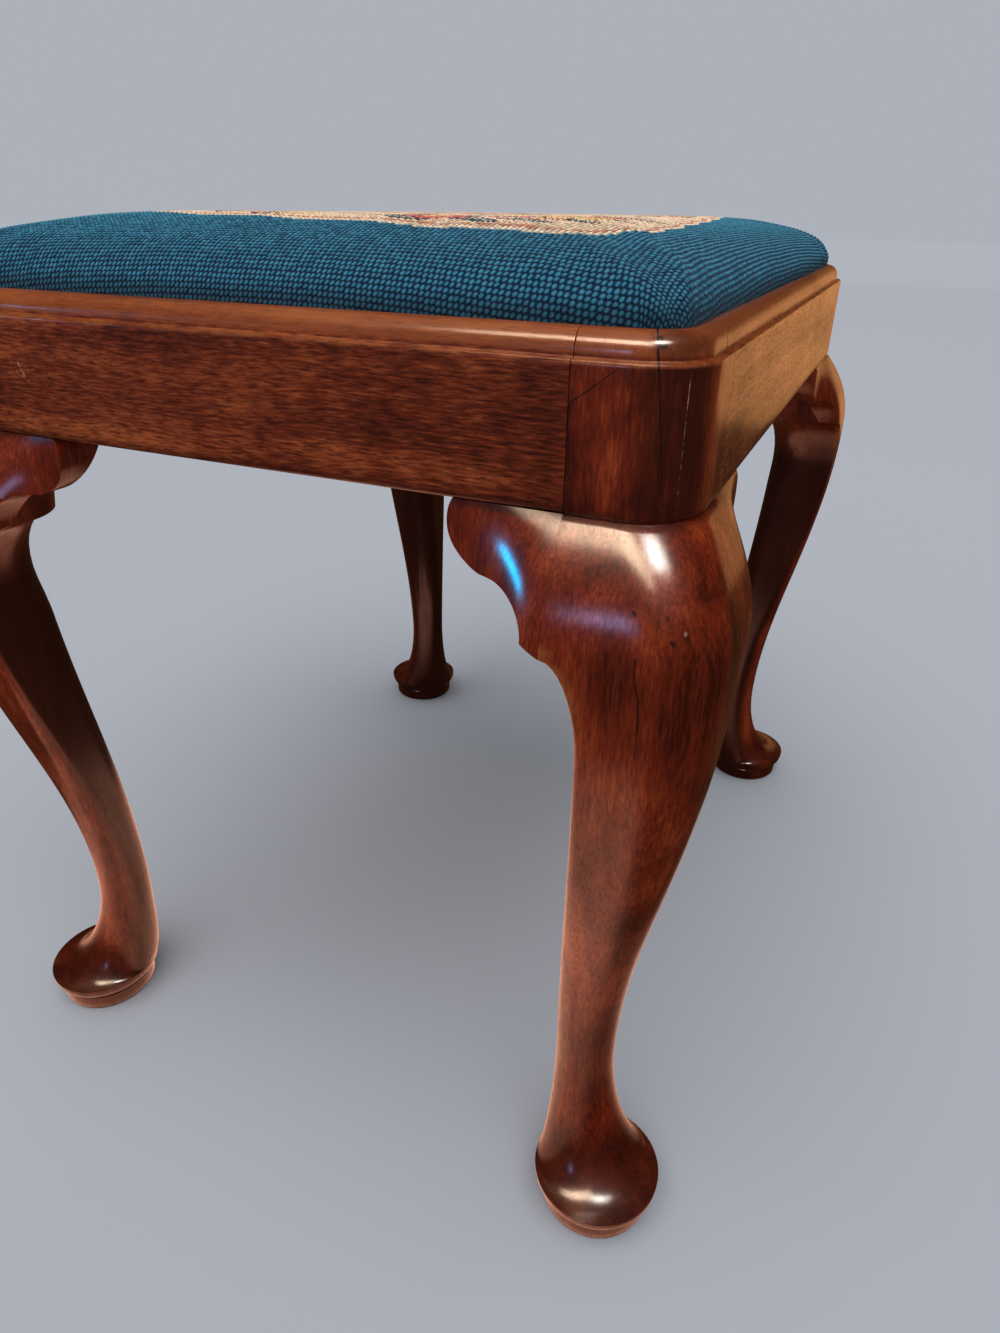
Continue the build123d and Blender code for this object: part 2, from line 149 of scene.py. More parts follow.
class SeatSettings(bpy.types.PropertyGroup):
    """Stitches and colours of the needlework"""

    pitch: number_setting("Stitch pitch", "Width of one stitch in millimetres", 2.15, min=1)
    relief: number_setting("Stitch relief", "Height of a stitch over the canvas in millimetres", 0.62)
    blue: colour_setting("Ground wool", "Blue of the ground", (0.0120, 0.174, 0.296))
    # Painted shade in the gaps between the stitches
    gap: number_setting("Gap shade", "Brightness of the wool between the stitches", 0.05, subtype="FACTOR")
    voxel: number_setting("Pad remesh", "Size of the pad's faces while it is stuffed", 0.005, unit="LENGTH")
    swell: number_setting("Swell limit", "How far the stuffing may push the cover", 0.0017, unit="LENGTH")


class StageSettings(bpy.types.PropertyGroup):
    """Floor, light and camera"""

    floor: colour_setting("Floor", "Colour of the floor", (0.418, 0.440, 0.488))
    backdrop: colour_setting("Backdrop", "Colour seen past the floor", (0.418, 0.440, 0.491))
    dome: number_setting("Dome", "Strength of the even light from all round", 0.48)
    lens: number_setting("Lens", "Focal length for a picture 36 mm high", 23.34, subtype="DISTANCE_CAMERA")


# Shader maths
class Shade:
    """A socket of a material's nodes; arithmetic on it adds Math nodes."""

    def __init__(self, tree, socket=None):
        self.tree, self.socket = tree, socket

    def node(self, kind, settings=None, inputs=None, out=0):
        """Any other node: its type, its settings, and the values or links of its sockets."""
        made = self.tree.nodes.new(kind)
        for key, value in (settings or {}).items():
            if key == "stops":
                ramp = made.color_ramp
                while len(ramp.elements) < len(value):
                    ramp.elements.new(1)
                for element, (place, colour) in zip(ramp.elements, value):
                    element.position, element.color = place, colour
            else:
                setattr(made, key, value)
        for key, value in (inputs or {}).items():
            if isinstance(value, Shade):
                self.tree.links.new(value.socket, made.inputs[key])
            else:
                made.inputs[key].default_value = value
        return Shade(self.tree, made.outputs[out] if made.outputs else None)

    def maths(self, operation, *others):
        return self.node("ShaderNodeMath", {"operation": operation}, dict(enumerate((self, *others))))

    def vector(self, operation, *others, out=0):
        return self.node("ShaderNodeVectorMath", {"operation": operation}, dict(enumerate((self, *others))), out)

    def __add__(self, other):
        return self.maths("ADD", other)

    def __sub__(self, other):
        return self.maths("SUBTRACT", other)

    def __rsub__(self, other):
        return self.node("ShaderNodeMath", {"operation": "SUBTRACT"}, {0: other, 1: self})

    def __mul__(self, other):
        return self.maths("MULTIPLY", other)

    def __truediv__(self, other):
        return self.maths("DIVIDE", other)

    def __pow__(self, other):
        return self.maths("POWER", other)

    __radd__, __rmul__ = __add__, __mul__

    def step(self, low, high):
        """0 below low, 1 above high, smooth between; the other way round where low is above high."""
        settings = {"interpolation_type": "SMOOTHSTEP"}
        if low < high:
            return self.node("ShaderNodeMapRange", settings, {"Value": self, "From Min": low, "From Max": high})
        return self.node("ShaderNodeMapRange", settings, {
            "Value": self, "From Min": high, "From Max": low, "To Min": 1.0, "To Max": 0.0})

    def scaled(self, factors):
        """A vector times three factors."""
        return self.vector("MULTIPLY", factors)

    def noise(self, scale, detail=2.0, rough=0.5, twist=0.0):
        return self.node("ShaderNodeTexNoise", None, {
            "Vector": self, "Scale": scale, "Detail": detail, "Roughness": rough, "Distortion": twist})

    def from_stroke(self, first, last):
        """Distance of a place from the straight stroke between two points in millimetres."""
        first, last = Vector(first) * MM, Vector(last) * MM
        run = last - first
        across = self.vector("SUBTRACT", first)
        share = across.vector("DOT_PRODUCT", run / run.length_squared, out="Value")
        share = share.maths("MAXIMUM", 0.0).maths("MINIMUM", 1.0)
        foot = share.node("ShaderNodeVectorMath", {"operation": "SCALE"}, {0: run, "Scale": share})
        return across.vector("DISTANCE", foot, out="Value")

    def axis(self, index):
        return self.node("ShaderNodeSeparateXYZ", None, {0: self}, index)

    def blend(self, first, second):
        """Colour between two others, with this value as the factor."""
        return self.node("ShaderNodeMix", {"data_type": "RGBA"}, {0: self, 6: first, 7: second}, 2)

    def along_grain(self, axis, share):
        """A place drawn out along one axis, so that what is drawn on it is long and thin."""
        factors = [1.0] * 3
        factors[axis] = share
        return self.scaled(factors)

    def marked(self, ragged, lines, fray, outside, inside):
        """How far a place lies on any of the lines, each given by its widths and its points."""
        share = None
        for widths, points in lines:
            for width, first, last in zip(widths, points, points[1:]):
                away = self.from_stroke(first, last) / (width * MM) + (ragged - 0.5) * fray
                near = away.step(outside, inside)
                share = near if share is None else share.maths("MAXIMUM", near)
        return share


def new_material(name):
    """Material with a bare Principled shader: the material, its shader and a handle for its nodes."""
    material = bpy.data.materials.new(name)
    material.use_nodes = True
    shader = material.node_tree.nodes["Principled BSDF"]
    return material, shader, Shade(material.node_tree)


def plug(shader, socket, value):
    """Feed a socket of the shader by a link or a plain value."""
    if isinstance(value, Shade):
        value.tree.links.new(value.socket, shader.inputs[socket])
    else:
        shader.inputs[socket].default_value = value


def bump(handle, height, strength, distance):
    return handle.node("ShaderNodeBump", None, {"Height": height, "Strength": strength, "Distance": distance})


# Marks of age on the front right leg and the front rail: widths along a line of points, in millimetres
SPLITS = (
    ((0.42,) * 7 + (0.30, 0.26, 0.22, 0.18), (
        (162.6, -219.5, 429.2), (163.5, -221.9, 428.6), (164.4, -224.2, 427.2), (164.9, -225.5, 425.4),
        (165.4, -226.2, 422.6), (165.8, -226.2, 420.6), (166.6, -228.8, 419.6), (166.9, -229.0, 417.9),
        (167.9, -228.5, 409.7), (169.2, -227.8, 397.5), (170.6, -226.9, 384.8), (171.7, -226.2, 375.5))),
    ((0.24, 0.18), ((140, -231, 407), (148, -231, 413), (155, -231, 418.5))),
    ((0.26, 0.30, 0.30, 0.18), (
        (172.9, -249.1, 330.8), (173.4, -249.9, 323.9), (175.4, -250, 316.8), (176.1, -249.9, 305.2),
        (176, -249.4, 292.6))),
    ((0.20, 0.16), ((172, -247.8, 273.2), (175.3, -247.1, 267), (173.4, -246, 258.7))),
    ((0.6,), ((180.9, -243.2, 345.1), (181.3, -243.4, 344.5))),
    ((0.5,), ((169.7, -244.9, 345.7), (170.5, -245.3, 344.7))),
    ((0.9,), ((164.9, -225.5, 425.4), (167.2, -224.6, 424.6))),
    ((0.5,), ((165.2, -224, 427.2), (166.6, -224.6, 426))),
    ((0.8,), ((183.6, -245.5, 337.7), (184.4, -245.4, 336.8))),
    ((0.45,), ((148, -234.6, 364.9), (149.4, -234.8, 364.5))),
)
DIRT = (((7,), ((168, -224, 427), (186, -212, 427))), ((4.5,), ((178.5, -221, 416), (178.5, -221, 374))))
SCRAPES = (
    ((0.15, 0.08), ((175.3, -222.9, 418), (175.3, -222.9, 402), (175.3, -222.9, 373))),
    ((0.5,), ((163.2, -221, 429), (164.2, -223.6, 427.7))),
    ((0.5,), ((186.8, -242.4, 340.6), (187.2, -242.6, 339.4))),
    ((0.45,), ((-107, -231, 401), (-105, -231, 396))),
    ((0.3,), ((-109, -231, 397), (-103, -231, 394))),
    ((0.3,), ((-112, -231, 404), (-111, -231, 401))),
    ((0.5,), ((164.9, -225.5, 425.4), (168, -224.6, 425))),
)
BARE_WOOD, DEEP_CRACK = (0.46, 0.25, 0.14, 1), (0.012, 0.004, 0.0025, 1)


def mahogany(name, along):
    """Polished mahogany with its grain along one axis, worn along the edges of rails and posts, with a painted
    highlight on the lip and worn edges and painted shade on the legs' inner faces and outer post corners.
    """
    wood, upright = bpy.context.scene.stool_wood, along == 2
    material, shader, handle = new_material(name)
    place = handle.node("ShaderNodeTexCoord", out="Object")
    height = place.axis(2)
    flecks = place.along_grain(along, 0.12)
    figure = place.along_grain(along, 0.055).noise(85, 4, 0.6, 0.5)
    fibre = flecks.noise(900, 2, 0.6)
    pores = flecks.noise(1350, 2, 0.6).step(0.50, 0.64)
    patina = place.noise(17, 3, 0.55)
    tone = (figure - 0.5) * 0.95 + (patina - 0.5) * 0.9
    on_post = height.step(POST_FOOT * MM, RAIL_BOTTOM * MM)
    if upright:
        blotch = place.along_grain(2, 0.45).noise(80, 4, 0.65) - 0.5
        tone = tone + (fibre - 0.5) * 0.6 + blotch * (0.3 + 0.9 * on_post) - 0.06 * on_post + 0.42
    else:
        tone = tone + (fibre - 0.5) * 1.1 + 0.49
    deep = (1, 0.68, 0.48, 1) if upright else (1, 1, 1, 1)
    stops = [(spot, [a * b for a, b in zip(shade, deep)])
             for spot, shade in ((0.16, wood.dark), (0.46, wood.middle), (0.84, wood.light))]
    colour = tone.node("ShaderNodeValToRGB", {"stops": stops}, {0: tone})
    # Lip and rubbed edges: wear with a painted highlight; darker along the rails' bottom edge and the feet's bottoms;
    # painted shade with dark old polish on the legs' inner faces; painted shade down the outer post corners; and the
    # dark pores
    arris = ARRIS * MM
    # The lip is painted lighter: wear, with a painted highlight from the light above
    lip_wear_and_highlight = height.step(arris + 0.0006, arris + 0.0022)
    colour = (lip_wear_and_highlight * (0.66 + 1.1 * (patina - 0.5))).blend(colour, wood.worn)
    # Lighter along the rails' arris and the legs' rubbed side edges: wear, with a painted highlight along each edge
    edge = height.step(arris - 0.0019, arris - 0.0006) * height.step(arris + 0.0012, arris)
    rubbed = edge * place.noise(60, 3, 0.6).step(0.34, 0.56)
    rubbed = rubbed.maths("MAXIMUM", handle.node("ShaderNodeAttribute", {"attribute_name": "worn"}, out="Fac"))
    colour = (rubbed * 0.85).blend(colour, wood.worn)
    # Darker along the rails' bottom edge and towards the bottom of the feet; the inner attribute brings painted shade
    # with dark old polish on the legs' inner faces and painted shade down the outer post corners
    foot = height.step((RAIL_BOTTOM + 5) * MM, RAIL_BOTTOM * MM) * on_post
    inner = handle.node("ShaderNodeAttribute", {"attribute_name": "inner"}, out="Fac")
    sole = height.step(0.050, 0.034) * (0.5 + 0.6 * patina)
    darkened_and_shaded = (foot * 0.55).maths("MAXIMUM", inner * 0.9).maths("MAXIMUM", sole * 0.8)
    colour = darkened_and_shaded.blend(colour, [share * 0.4 for share in wood.dark])
    colour = (pores * (0.66 - 0.40 * lip_wear_and_highlight) * (0.6 if upright else 1.0)).blend(colour, wood.dark)
    # Dirt, scrapes and cracks
    ragged = place.noise(240, 5, 0.75)
    for line in DIRT:
        colour = (place.marked(ragged, (line,), 1.6, 1.3, 0.3) * 0.62).blend(colour, wood.dark)
    split = place.marked(ragged, SPLITS, 2.6, 1.3, 0.6)
    colour = (place.marked(ragged, SCRAPES, 10, 1.0, 0.2) * 0.5).blend(colour, BARE_WOOD)
    plug(shader, "Base Color", (split * 0.92).blend(colour, DEEP_CRACK))
    plug(shader, "Roughness", 0.36 + 0.12 * patina + 0.10 * pores)
    plug(shader, "Coat Weight", (0.28 + 0.55 * patina + 0.6 * figure - 0.25 * pores).maths("MINIMUM", 1.0))
    plug(shader, "Coat Roughness", 0.19)
    plug(shader, "Specular IOR Level", 0.04)
    waves = place.noise(140, 2, 0.5)
    plug(shader, "Normal", bump(handle, fibre * 0.3 - pores * 0.35 + waves * 1.6 - split * 2, 0.20, 0.0002))
    return material


def plain_wood(name, along, dark, light):
    """Unpolished timber of the hidden frame."""
    material, shader, handle = new_material(name)
    place = handle.node("ShaderNodeTexCoord", out="Object")
    rings = place.along_grain(along, 0.07).noise(120, 4, 0.55, 0.8)
    fibre = place.along_grain(along, 0.2).noise(900, 2, 0.6)
    stain = place.noise(22, 3, 0.6)
    tone = rings * 0.8 + fibre * 0.3 + stain * 0.3 - 0.2
    colour = tone.node("ShaderNodeValToRGB", {"stops": [(0.2, dark), (0.75, light)]}, {0: tone})
    plug(shader, "Base Color", colour)
    plug(shader, "Roughness", 0.62 + 0.2 * fibre)
    plug(shader, "Normal", bump(handle, fibre + rings * 0.4, 0.4, 0.0004))
    return material


def needlework(name):
    """Wool stitches on canvas, with a painted highlight on each stitch's crown, painted shade in the gaps and painted
    shade on the rows at the seat's foot; the map's unit is one stitch and the wool's colour comes with the mesh.
    """
    seat = bpy.context.scene.stool_seat
    material, shader, handle = new_material(name)
    stitch = handle.node("ShaderNodeUVMap", {"uv_map": "stitches"})
    cell, inside = stitch.vector("FLOOR"), stitch.vector("FRACTION")
    chance = cell.node("ShaderNodeTexWhiteNoise", {"noise_dimensions": "2D"}, {"Vector": cell})
    stray = cell.node("ShaderNodeTexWhiteNoise", {"noise_dimensions": "3D"}, {"Vector": cell})
    across = inside.axis(0) - 0.5 + (stray - 0.5) * 0.16
    up = inside.axis(1) - 0.5 + (chance - 0.5) * 0.16
    lean_a, lean_b = across * 0.80 - up * 0.60, up * 0.80 + across * 0.60
    away = (lean_a / 0.40).maths("ABSOLUTE") ** 2.2 + (lean_b / 0.60).maths("ABSOLUTE") ** 2.2
    body = away.step(1.15, 0.10)
    twist = (lean_b * 17 + lean_a * 7).maths("SINE") * 0.5 + 0.5
    fuzz = stitch.noise(5.5, 3, 0.6)
    wool = handle.node("ShaderNodeVertexColor", {"layer_name": "wool"})
    shade = (0.70 + 0.42 * chance + 0.8 * (fuzz - 0.5)) * (0.82 + 0.30 * twist)
    grey = shade.node("ShaderNodeCombineXYZ", None, {0: shade, 1: shade, 2: shade})
    lit = wool.vector("MULTIPLY", grey)
    flowered = handle.node("ShaderNodeVertexColor", {"layer_name": "wool"}, out="Alpha")
    # Painted shade in the gaps between stitches: near black on the ground, less on the flowered panel
    gap_shade_wool = [seat.gap, seat.gap * 1.6, seat.gap * 3.0]
    between = flowered.blend(wool.scaled(gap_shade_wool), wool.scaled([0.45] * 3))
    colour = body.blend(between, lit)
    # Painted highlight on the crown of each stitch
    stitch_highlight = away.step(0.55, 0.0) * (0.35 + 0.65 * fuzz.step(0.44, 0.66))
    highlight_wool = flowered.blend(wool.scaled([9, 1.9, 1.5]), wool.scaled([1.75, 1.65, 1.6]))
    colour = (stitch_highlight * 0.72).blend(colour, highlight_wool)
    height = handle.node("ShaderNodeTexCoord", out="Object").axis(2)
    # Painted shade on the rows at the seat's foot, next to the lip
    foot_shade = height.step((SEAT_TOP + 8) * MM, (SEAT_TOP - 0.5) * MM) * 0.55
    colour = foot_shade.blend(colour, (0.002, 0.006, 0.012, 1))
    plug(shader, "Base Color", colour)
    plug(shader, "Roughness", 0.92)
    plug(shader, "Specular IOR Level", 0.06)
    plug(shader, "Sheen Weight", 0.13)
    plug(shader, "Sheen Roughness", 0.45)
    plug(shader, "Sheen Tint", (0.62, 0.80, 0.95, 1))
    plug(shader, "Normal", bump(handle, body * 0.8 + twist * body * 0.22 + fuzz * 0.25, 0.95, 0.0008))
    return material


def woven(name, thread, along, warp, weft, stripe=None):
    """Plain-woven jute: warp along one axis, weft along the other, with an optional woven stripe and painted shade
    where the threads dip.
    """
    material, shader, handle = new_material(name)
    place = handle.node("ShaderNodeTexCoord", out="Object")
    wander = (place.noise(90, 2) - 0.5) * (thread * 0.8)
    turn = math.pi / thread
    lengthways = ((place.axis(1 - along) + wander) * turn).maths("SINE")
    crossways = ((place.axis(along) + wander) * turn).maths("SINE")
    over = (lengthways * crossways).step(-0.15, 0.15)
    ridge = over * lengthways.maths("ABSOLUTE") + (1 - over) * crossways.maths("ABSOLUTE")
    hair = place.noise(1400, 2, 0.6)
    colour = over.blend(warp, weft)
    if stripe:
        middle, half, shade = stripe
        band = (place.axis(1 - along) - middle).maths("ABSOLUTE")
        colour = (band.step(half - 0.001, half) * band.step(half + 0.005, half + 0.004)).blend(colour, shade)
    # Painted shade where the threads dip between one another
    colour = (ridge.step(0.55, 0.05) * 0.8).blend(colour, (0.03, 0.018, 0.008, 1))
    colour = (hair.step(0.45, 0.7) * 0.3).blend(colour, (0.62, 0.47, 0.28, 1))
    plug(shader, "Base Color", colour)
    plug(shader, "Roughness", 0.9)
    plug(shader, "Specular IOR Level", 0.15)
    plug(shader, "Normal", bump(handle, ridge + hair * 0.3, 0.8, 0.0008))
    return material


def blued_steel(name):
    """Upholsterer's tacks: dark blued steel with a little rust."""
    material, shader, handle = new_material(name)
    place = handle.node("ShaderNodeTexCoord", out="Object")
    rust = place.noise(420, 3, 0.6).step(0.5, 0.68)
    plug(shader, "Base Color", rust.blend((0.022, 0.024, 0.030, 1), (0.115, 0.040, 0.016, 1)))
    plug(shader, "Metallic", 1 - rust * 0.85)
    plug(shader, "Roughness", 0.38 + 0.4 * rust)
    return material


def once(name, make, *values):
    """The material of that name, made the first time it is asked for."""
    return bpy.data.materials.get(name) or make(name, *values)


# Modelling helpers
def clear_selection():
    if bpy.context.object and bpy.context.object.mode != "OBJECT":
        bpy.ops.object.mode_set(mode="OBJECT")
    bpy.ops.object.select_all(action="DESELECT")


def named(name):
    """Name the object that was just added."""
    piece = bpy.context.object
    piece.name = piece.data.name = name
    return piece


def lofted(name, rings):
    """Closed piece through rings of points in millimetres: a circle set to the first ring, then extruded on."""
    clear_selection()
    bpy.ops.mesh.primitive_circle_add(vertices=len(rings[0]), radius=1, fill_type="NGON")
    piece = named(name)
    bpy.ops.object.mode_set(mode="EDIT")
    for number, ring in enumerate(rings):
        if number == 0:
            mesh = bmesh.from_edit_mesh(piece.data)
            order = mesh.verts.layers.int.new("order")
            mesh.verts.ensure_lookup_table()
            for index, vert in enumerate(mesh.verts):
                vert[order] = index
            bpy.ops.mesh.select_all(action="SELECT")
        else:
            bpy.ops.mesh.extrude_region()
        mesh = bmesh.from_edit_mesh(piece.data)
        order = mesh.verts.layers.int["order"]
        for vert in mesh.verts:
            if vert.select:
                vert.co = Vector(ring[vert[order]]) * MM
        bmesh.update_edit_mesh(piece.data)
    bpy.ops.mesh.select_all(action="SELECT")
    bpy.ops.mesh.normals_make_consistent(inside=False)
    bpy.ops.object.mode_set(mode="OBJECT")
    piece.data.attributes.remove(piece.data.attributes["order"])
    return piece


def chosen(piece):
    """Make the piece the only selected object."""
    clear_selection()
    piece.select_set(True)
    bpy.context.view_layer.objects.active = piece


def modify(piece, kind, **values):
    """Add a modifier to the piece, set its values and apply it."""
    chosen(piece)
    bpy.ops.object.modifier_add(type=kind)
    modifier = piece.modifiers[-1]
    for key, value in values.items():
        setattr(modifier, key, value)
    bpy.ops.object.modifier_apply(modifier=modifier.name)


def cut(piece, other, operation):
    """Boolean with another piece, which is used up."""
    modify(piece, "BOOLEAN", operation=operation, object=other, solver="EXACT")
    bpy.data.objects.remove(other)


def opened(piece, kind):
    """Open the piece in edit mode with nothing selected, and return its mesh."""
    chosen(piece)
    bpy.ops.object.mode_set(mode="EDIT")
    bpy.ops.mesh.select_mode(type=kind)
    bpy.ops.mesh.select_all(action="DESELECT")
    return bmesh.from_edit_mesh(piece.data)


def soften(piece, width, keep_out):
    """Bevel the sharp edges, apart from those that keep_out holds back."""
    mesh = opened(piece, "EDGE")
    bmesh.ops.remove_doubles(mesh, verts=mesh.verts, dist=2e-6)
    for edge in mesh.edges:
        sharp = len(edge.link_faces) == 2 and edge.calc_face_angle(0) > math.radians(38)
        edge.select_set(sharp and not keep_out([vert.co / MM for vert in edge.verts]))
    bmesh.update_edit_mesh(piece.data)
    bpy.ops.mesh.bevel(offset=width * MM, offset_type="OFFSET", segments=3, profile=0.5, clamp_overlap=True)
    bpy.ops.object.mode_set(mode="OBJECT")


def smoothed(piece, degrees=34):
    chosen(piece)
    bpy.ops.object.shade_smooth_by_angle(angle=math.radians(degrees))
    return piece


def copied(piece, name, matrix):
    """Copy with its own mesh, moved to its place by the points of that mesh."""
    twin = piece.copy()
    twin.data = piece.data.copy()
    twin.name = twin.data.name = name
    bpy.context.collection.objects.link(twin)
    twin.data.transform(matrix)
    if matrix.determinant() < 0:
        twin.data.flip_normals()
    twin.data.update()
    return twin


def dress(piece, material, body, slot, *nodes):
    """Give a piece its material and its body, and hide the nodes that it replaces; its slot is not used."""
    piece.data.materials.clear()
    piece.data.materials.append(material)
    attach(piece, body)
    if nodes:
        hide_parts(*nodes)
    return piece


def placed(x, y, turn):
    """Place at a corner or side: a rail lies along X with its outer face on Y=0 and its inside towards +Y."""
    return Matrix.Translation((x * HALF_X * MM, y * HALF_Y * MM, 0)) @ Matrix.Rotation(math.radians(turn), 4, "Z")


def quarter_turn(steps):
    """Sine and cosine at even steps through a right angle."""
    turns = [math.pi / 2 * step / steps for step in range(steps + 1)]
    return [(math.sin(turn), math.cos(turn)) for turn in turns]


def rounded_corners(low, high, roundings, steps):
    """Points along the four rounded corners of a rectangle, from its far corner anticlockwise."""
    points = []
    for quarter, rounding in enumerate(roundings):
        sign_x, sign_y = (1, -1, -1, 1)[quarter], (1, 1, -1, -1)[quarter]
        middle_x = (high if sign_x > 0 else low)[0] - sign_x * rounding
        middle_y = (high if sign_y > 0 else low)[1] - sign_y * rounding
        for step in range(steps + 1):
            turn = math.pi / 2 * (quarter + step / steps)
            points.append((middle_x + rounding * math.cos(turn), middle_y + rounding * math.sin(turn)))
    return points


def values_of(items, field, width=1, kind=np.float64):
    """One field of all items of a mesh, a row for each."""
    values = np.empty(len(items) * width, dtype=kind)
    items.foreach_get(field, values)
    return values.reshape(-1, width) if width > 1 else values


# Cabriole legs
def knee_swell(z):
    return KNEE_SWELL * (1 - max(0, 1 - (RAIL_BOTTOM - z) / SHOULDER_DROP) ** 2)


def shank_share(z):
    return clamp((KNEE_HEIGHT - z) / (KNEE_HEIGHT - ANKLE_HEIGHT))


def outer_line(z):
    if z > KNEE_HEIGHT:
        return knee_swell(z)
    return KNEE_SWELL - (KNEE_SWELL + ANKLE_SET_BACK) * ease(shank_share(z))


def inner_line(z):
    back = KNEE_BACK + (ANKLE_BACK - KNEE_BACK) * ease(shank_share(z))
    rise = clamp((z - HOLLOW_FOOT) / HOLLOW_HEIGHT)
    return -back - (POST_WIDTH - KNEE_BACK) * (1 - math.sqrt(1 - rise ** 2))


def square_ring(z, low, high, roundings, arc=12, flat=5):
    """Level outline of a square with rounded corners, from the outer corner anticlockwise."""
    points = rounded_corners((low, low), (high, high), roundings, arc)
    ring = []
    for index, point in enumerate(points):
        ring.append((*point, z))
        if index % (arc + 1) == arc:
            following = points[(index + 1) % len(points)]
            for step in range(1, flat + 1):
                share = step / (flat + 1)
                ring.append((*(a + (b - a) * share for a, b in zip(point, following)), z))
    return ring


def lip_line():
    """Moulding on the outer face from under the arris up to the top of the lip: inward distance and height."""
    line = [(0, ARRIS - 1.5), (0.05, ARRIS - 0.8), (0.3, ARRIS - 0.3), (0.9, ARRIS - 0.05), (1.6, ARRIS),
            (LIP_LEDGE - 0.4, ARRIS + 0.1), (LIP_LEDGE - 0.05, ARRIS + 0.5)]
    return line + [(LIP_LEDGE + LIP_ROUND * (1 - cosine), FRAME_TOP - LIP_ROUND * (1 - sine))
                   for sine, cosine in quarter_turn(8)]


def post_rings():
    """Outlines of the post from the top of its lip down to the shoulder."""
    lines = [(LIP_WIDTH - 0.9, FRAME_TOP)] + lip_line()[::-1]
    lines += [(0, ARRIS - 1.5 - step * (ARRIS - 3.5 - RAIL_BOTTOM) / 10) for step in range(1, 10)]
    lines += [(0, RAIL_BOTTOM + 1.6), (0.12, RAIL_BOTTOM + 0.9), (0.5, RAIL_BOTTOM + 0.4), (1.0, RAIL_BOTTOM + 0.1)]
    for inset, z in lines:
        yield z, -POST_WIDTH, -inset, (CORNER_ROUND - inset, POST_EDGE, POST_EDGE, POST_EDGE)


def shank_rings():
    """Outlines of the leg from the shoulder down to the ankle."""
    heights = [RAIL_BOTTOM - 0.25, RAIL_BOTTOM - 0.8]
    heights += [RAIL_BOTTOM - 2.5 - 44 * step / 11 for step in range(12)]
    heights += [HOLLOW_FOOT + HOLLOW_HEIGHT * cosine for _, cosine in quarter_turn(9)[1:9]]
    heights += [HOLLOW_FOOT - (HOLLOW_FOOT - ANKLE_HEIGHT) * step / 22 for step in range(22)]
    ankle = ANKLE_WIDTH / 2 * NEARLY_ROUND
    for z in heights:
        share = shank_share(z)
        front, edge, back = (start + (ankle - start) * share for start in (CORNER_ROUND, KNEE_EDGE, BACK_ROUND))
        edge = GLUED_EDGE if z > RAIL_BOTTOM - EAR_DROP else edge
        back += CARVE_DEPTH * clamp((CARVE_TOP - z) / CARVE_RUN) * clamp((z - CARVE_FOOT) / CARVE_FADE)
        tuck = SHOULDER_TUCK if z > RAIL_BOTTOM - 0.5 else 0.0
        yield z, inner_line(z), outer_line(z) - tuck, (front, edge, back, edge)


def foot_rings():
    """Outlines of the ankle, the pad foot and the disc under it."""
    for sine, cosine in quarter_turn(14)[:14]:
        inner = -ANKLE_BACK - FOOT_HEEL * (1 - cosine)
        outer = (FOOT_AXIS + FOOT_RADIUS + ANKLE_SET_BACK) * (1 - cosine) - ANKLE_SET_BACK
        yield (ANKLE_HEIGHT - (ANKLE_HEIGHT - FOOT_RIM) * sine, inner, outer,
               [(outer - inner) / 2 * NEARLY_ROUND] * 4)
    lines = [(FOOT_RIM - FOOT_EDGE * sine, PAD_RADIUS + (FOOT_RADIUS - PAD_RADIUS) * cosine)
             for sine, cosine in quarter_turn(8)]
    lines += [(FOOT_RIM - FOOT_EDGE - 1.0, PAD_RADIUS - 0.25), (FOOT_RIM - FOOT_EDGE - 1.8, PAD_RADIUS + 0.35),
              (6.0, PAD_RADIUS + 0.2), (1.4, PAD_RADIUS - 0.1), (0.4, PAD_RADIUS - 0.7), (0.0, PAD_RADIUS - 1.7)]
    for z, radius in lines:
        yield z, FOOT_AXIS - radius, FOOT_AXIS + radius, [radius * NEARLY_ROUND] * 4


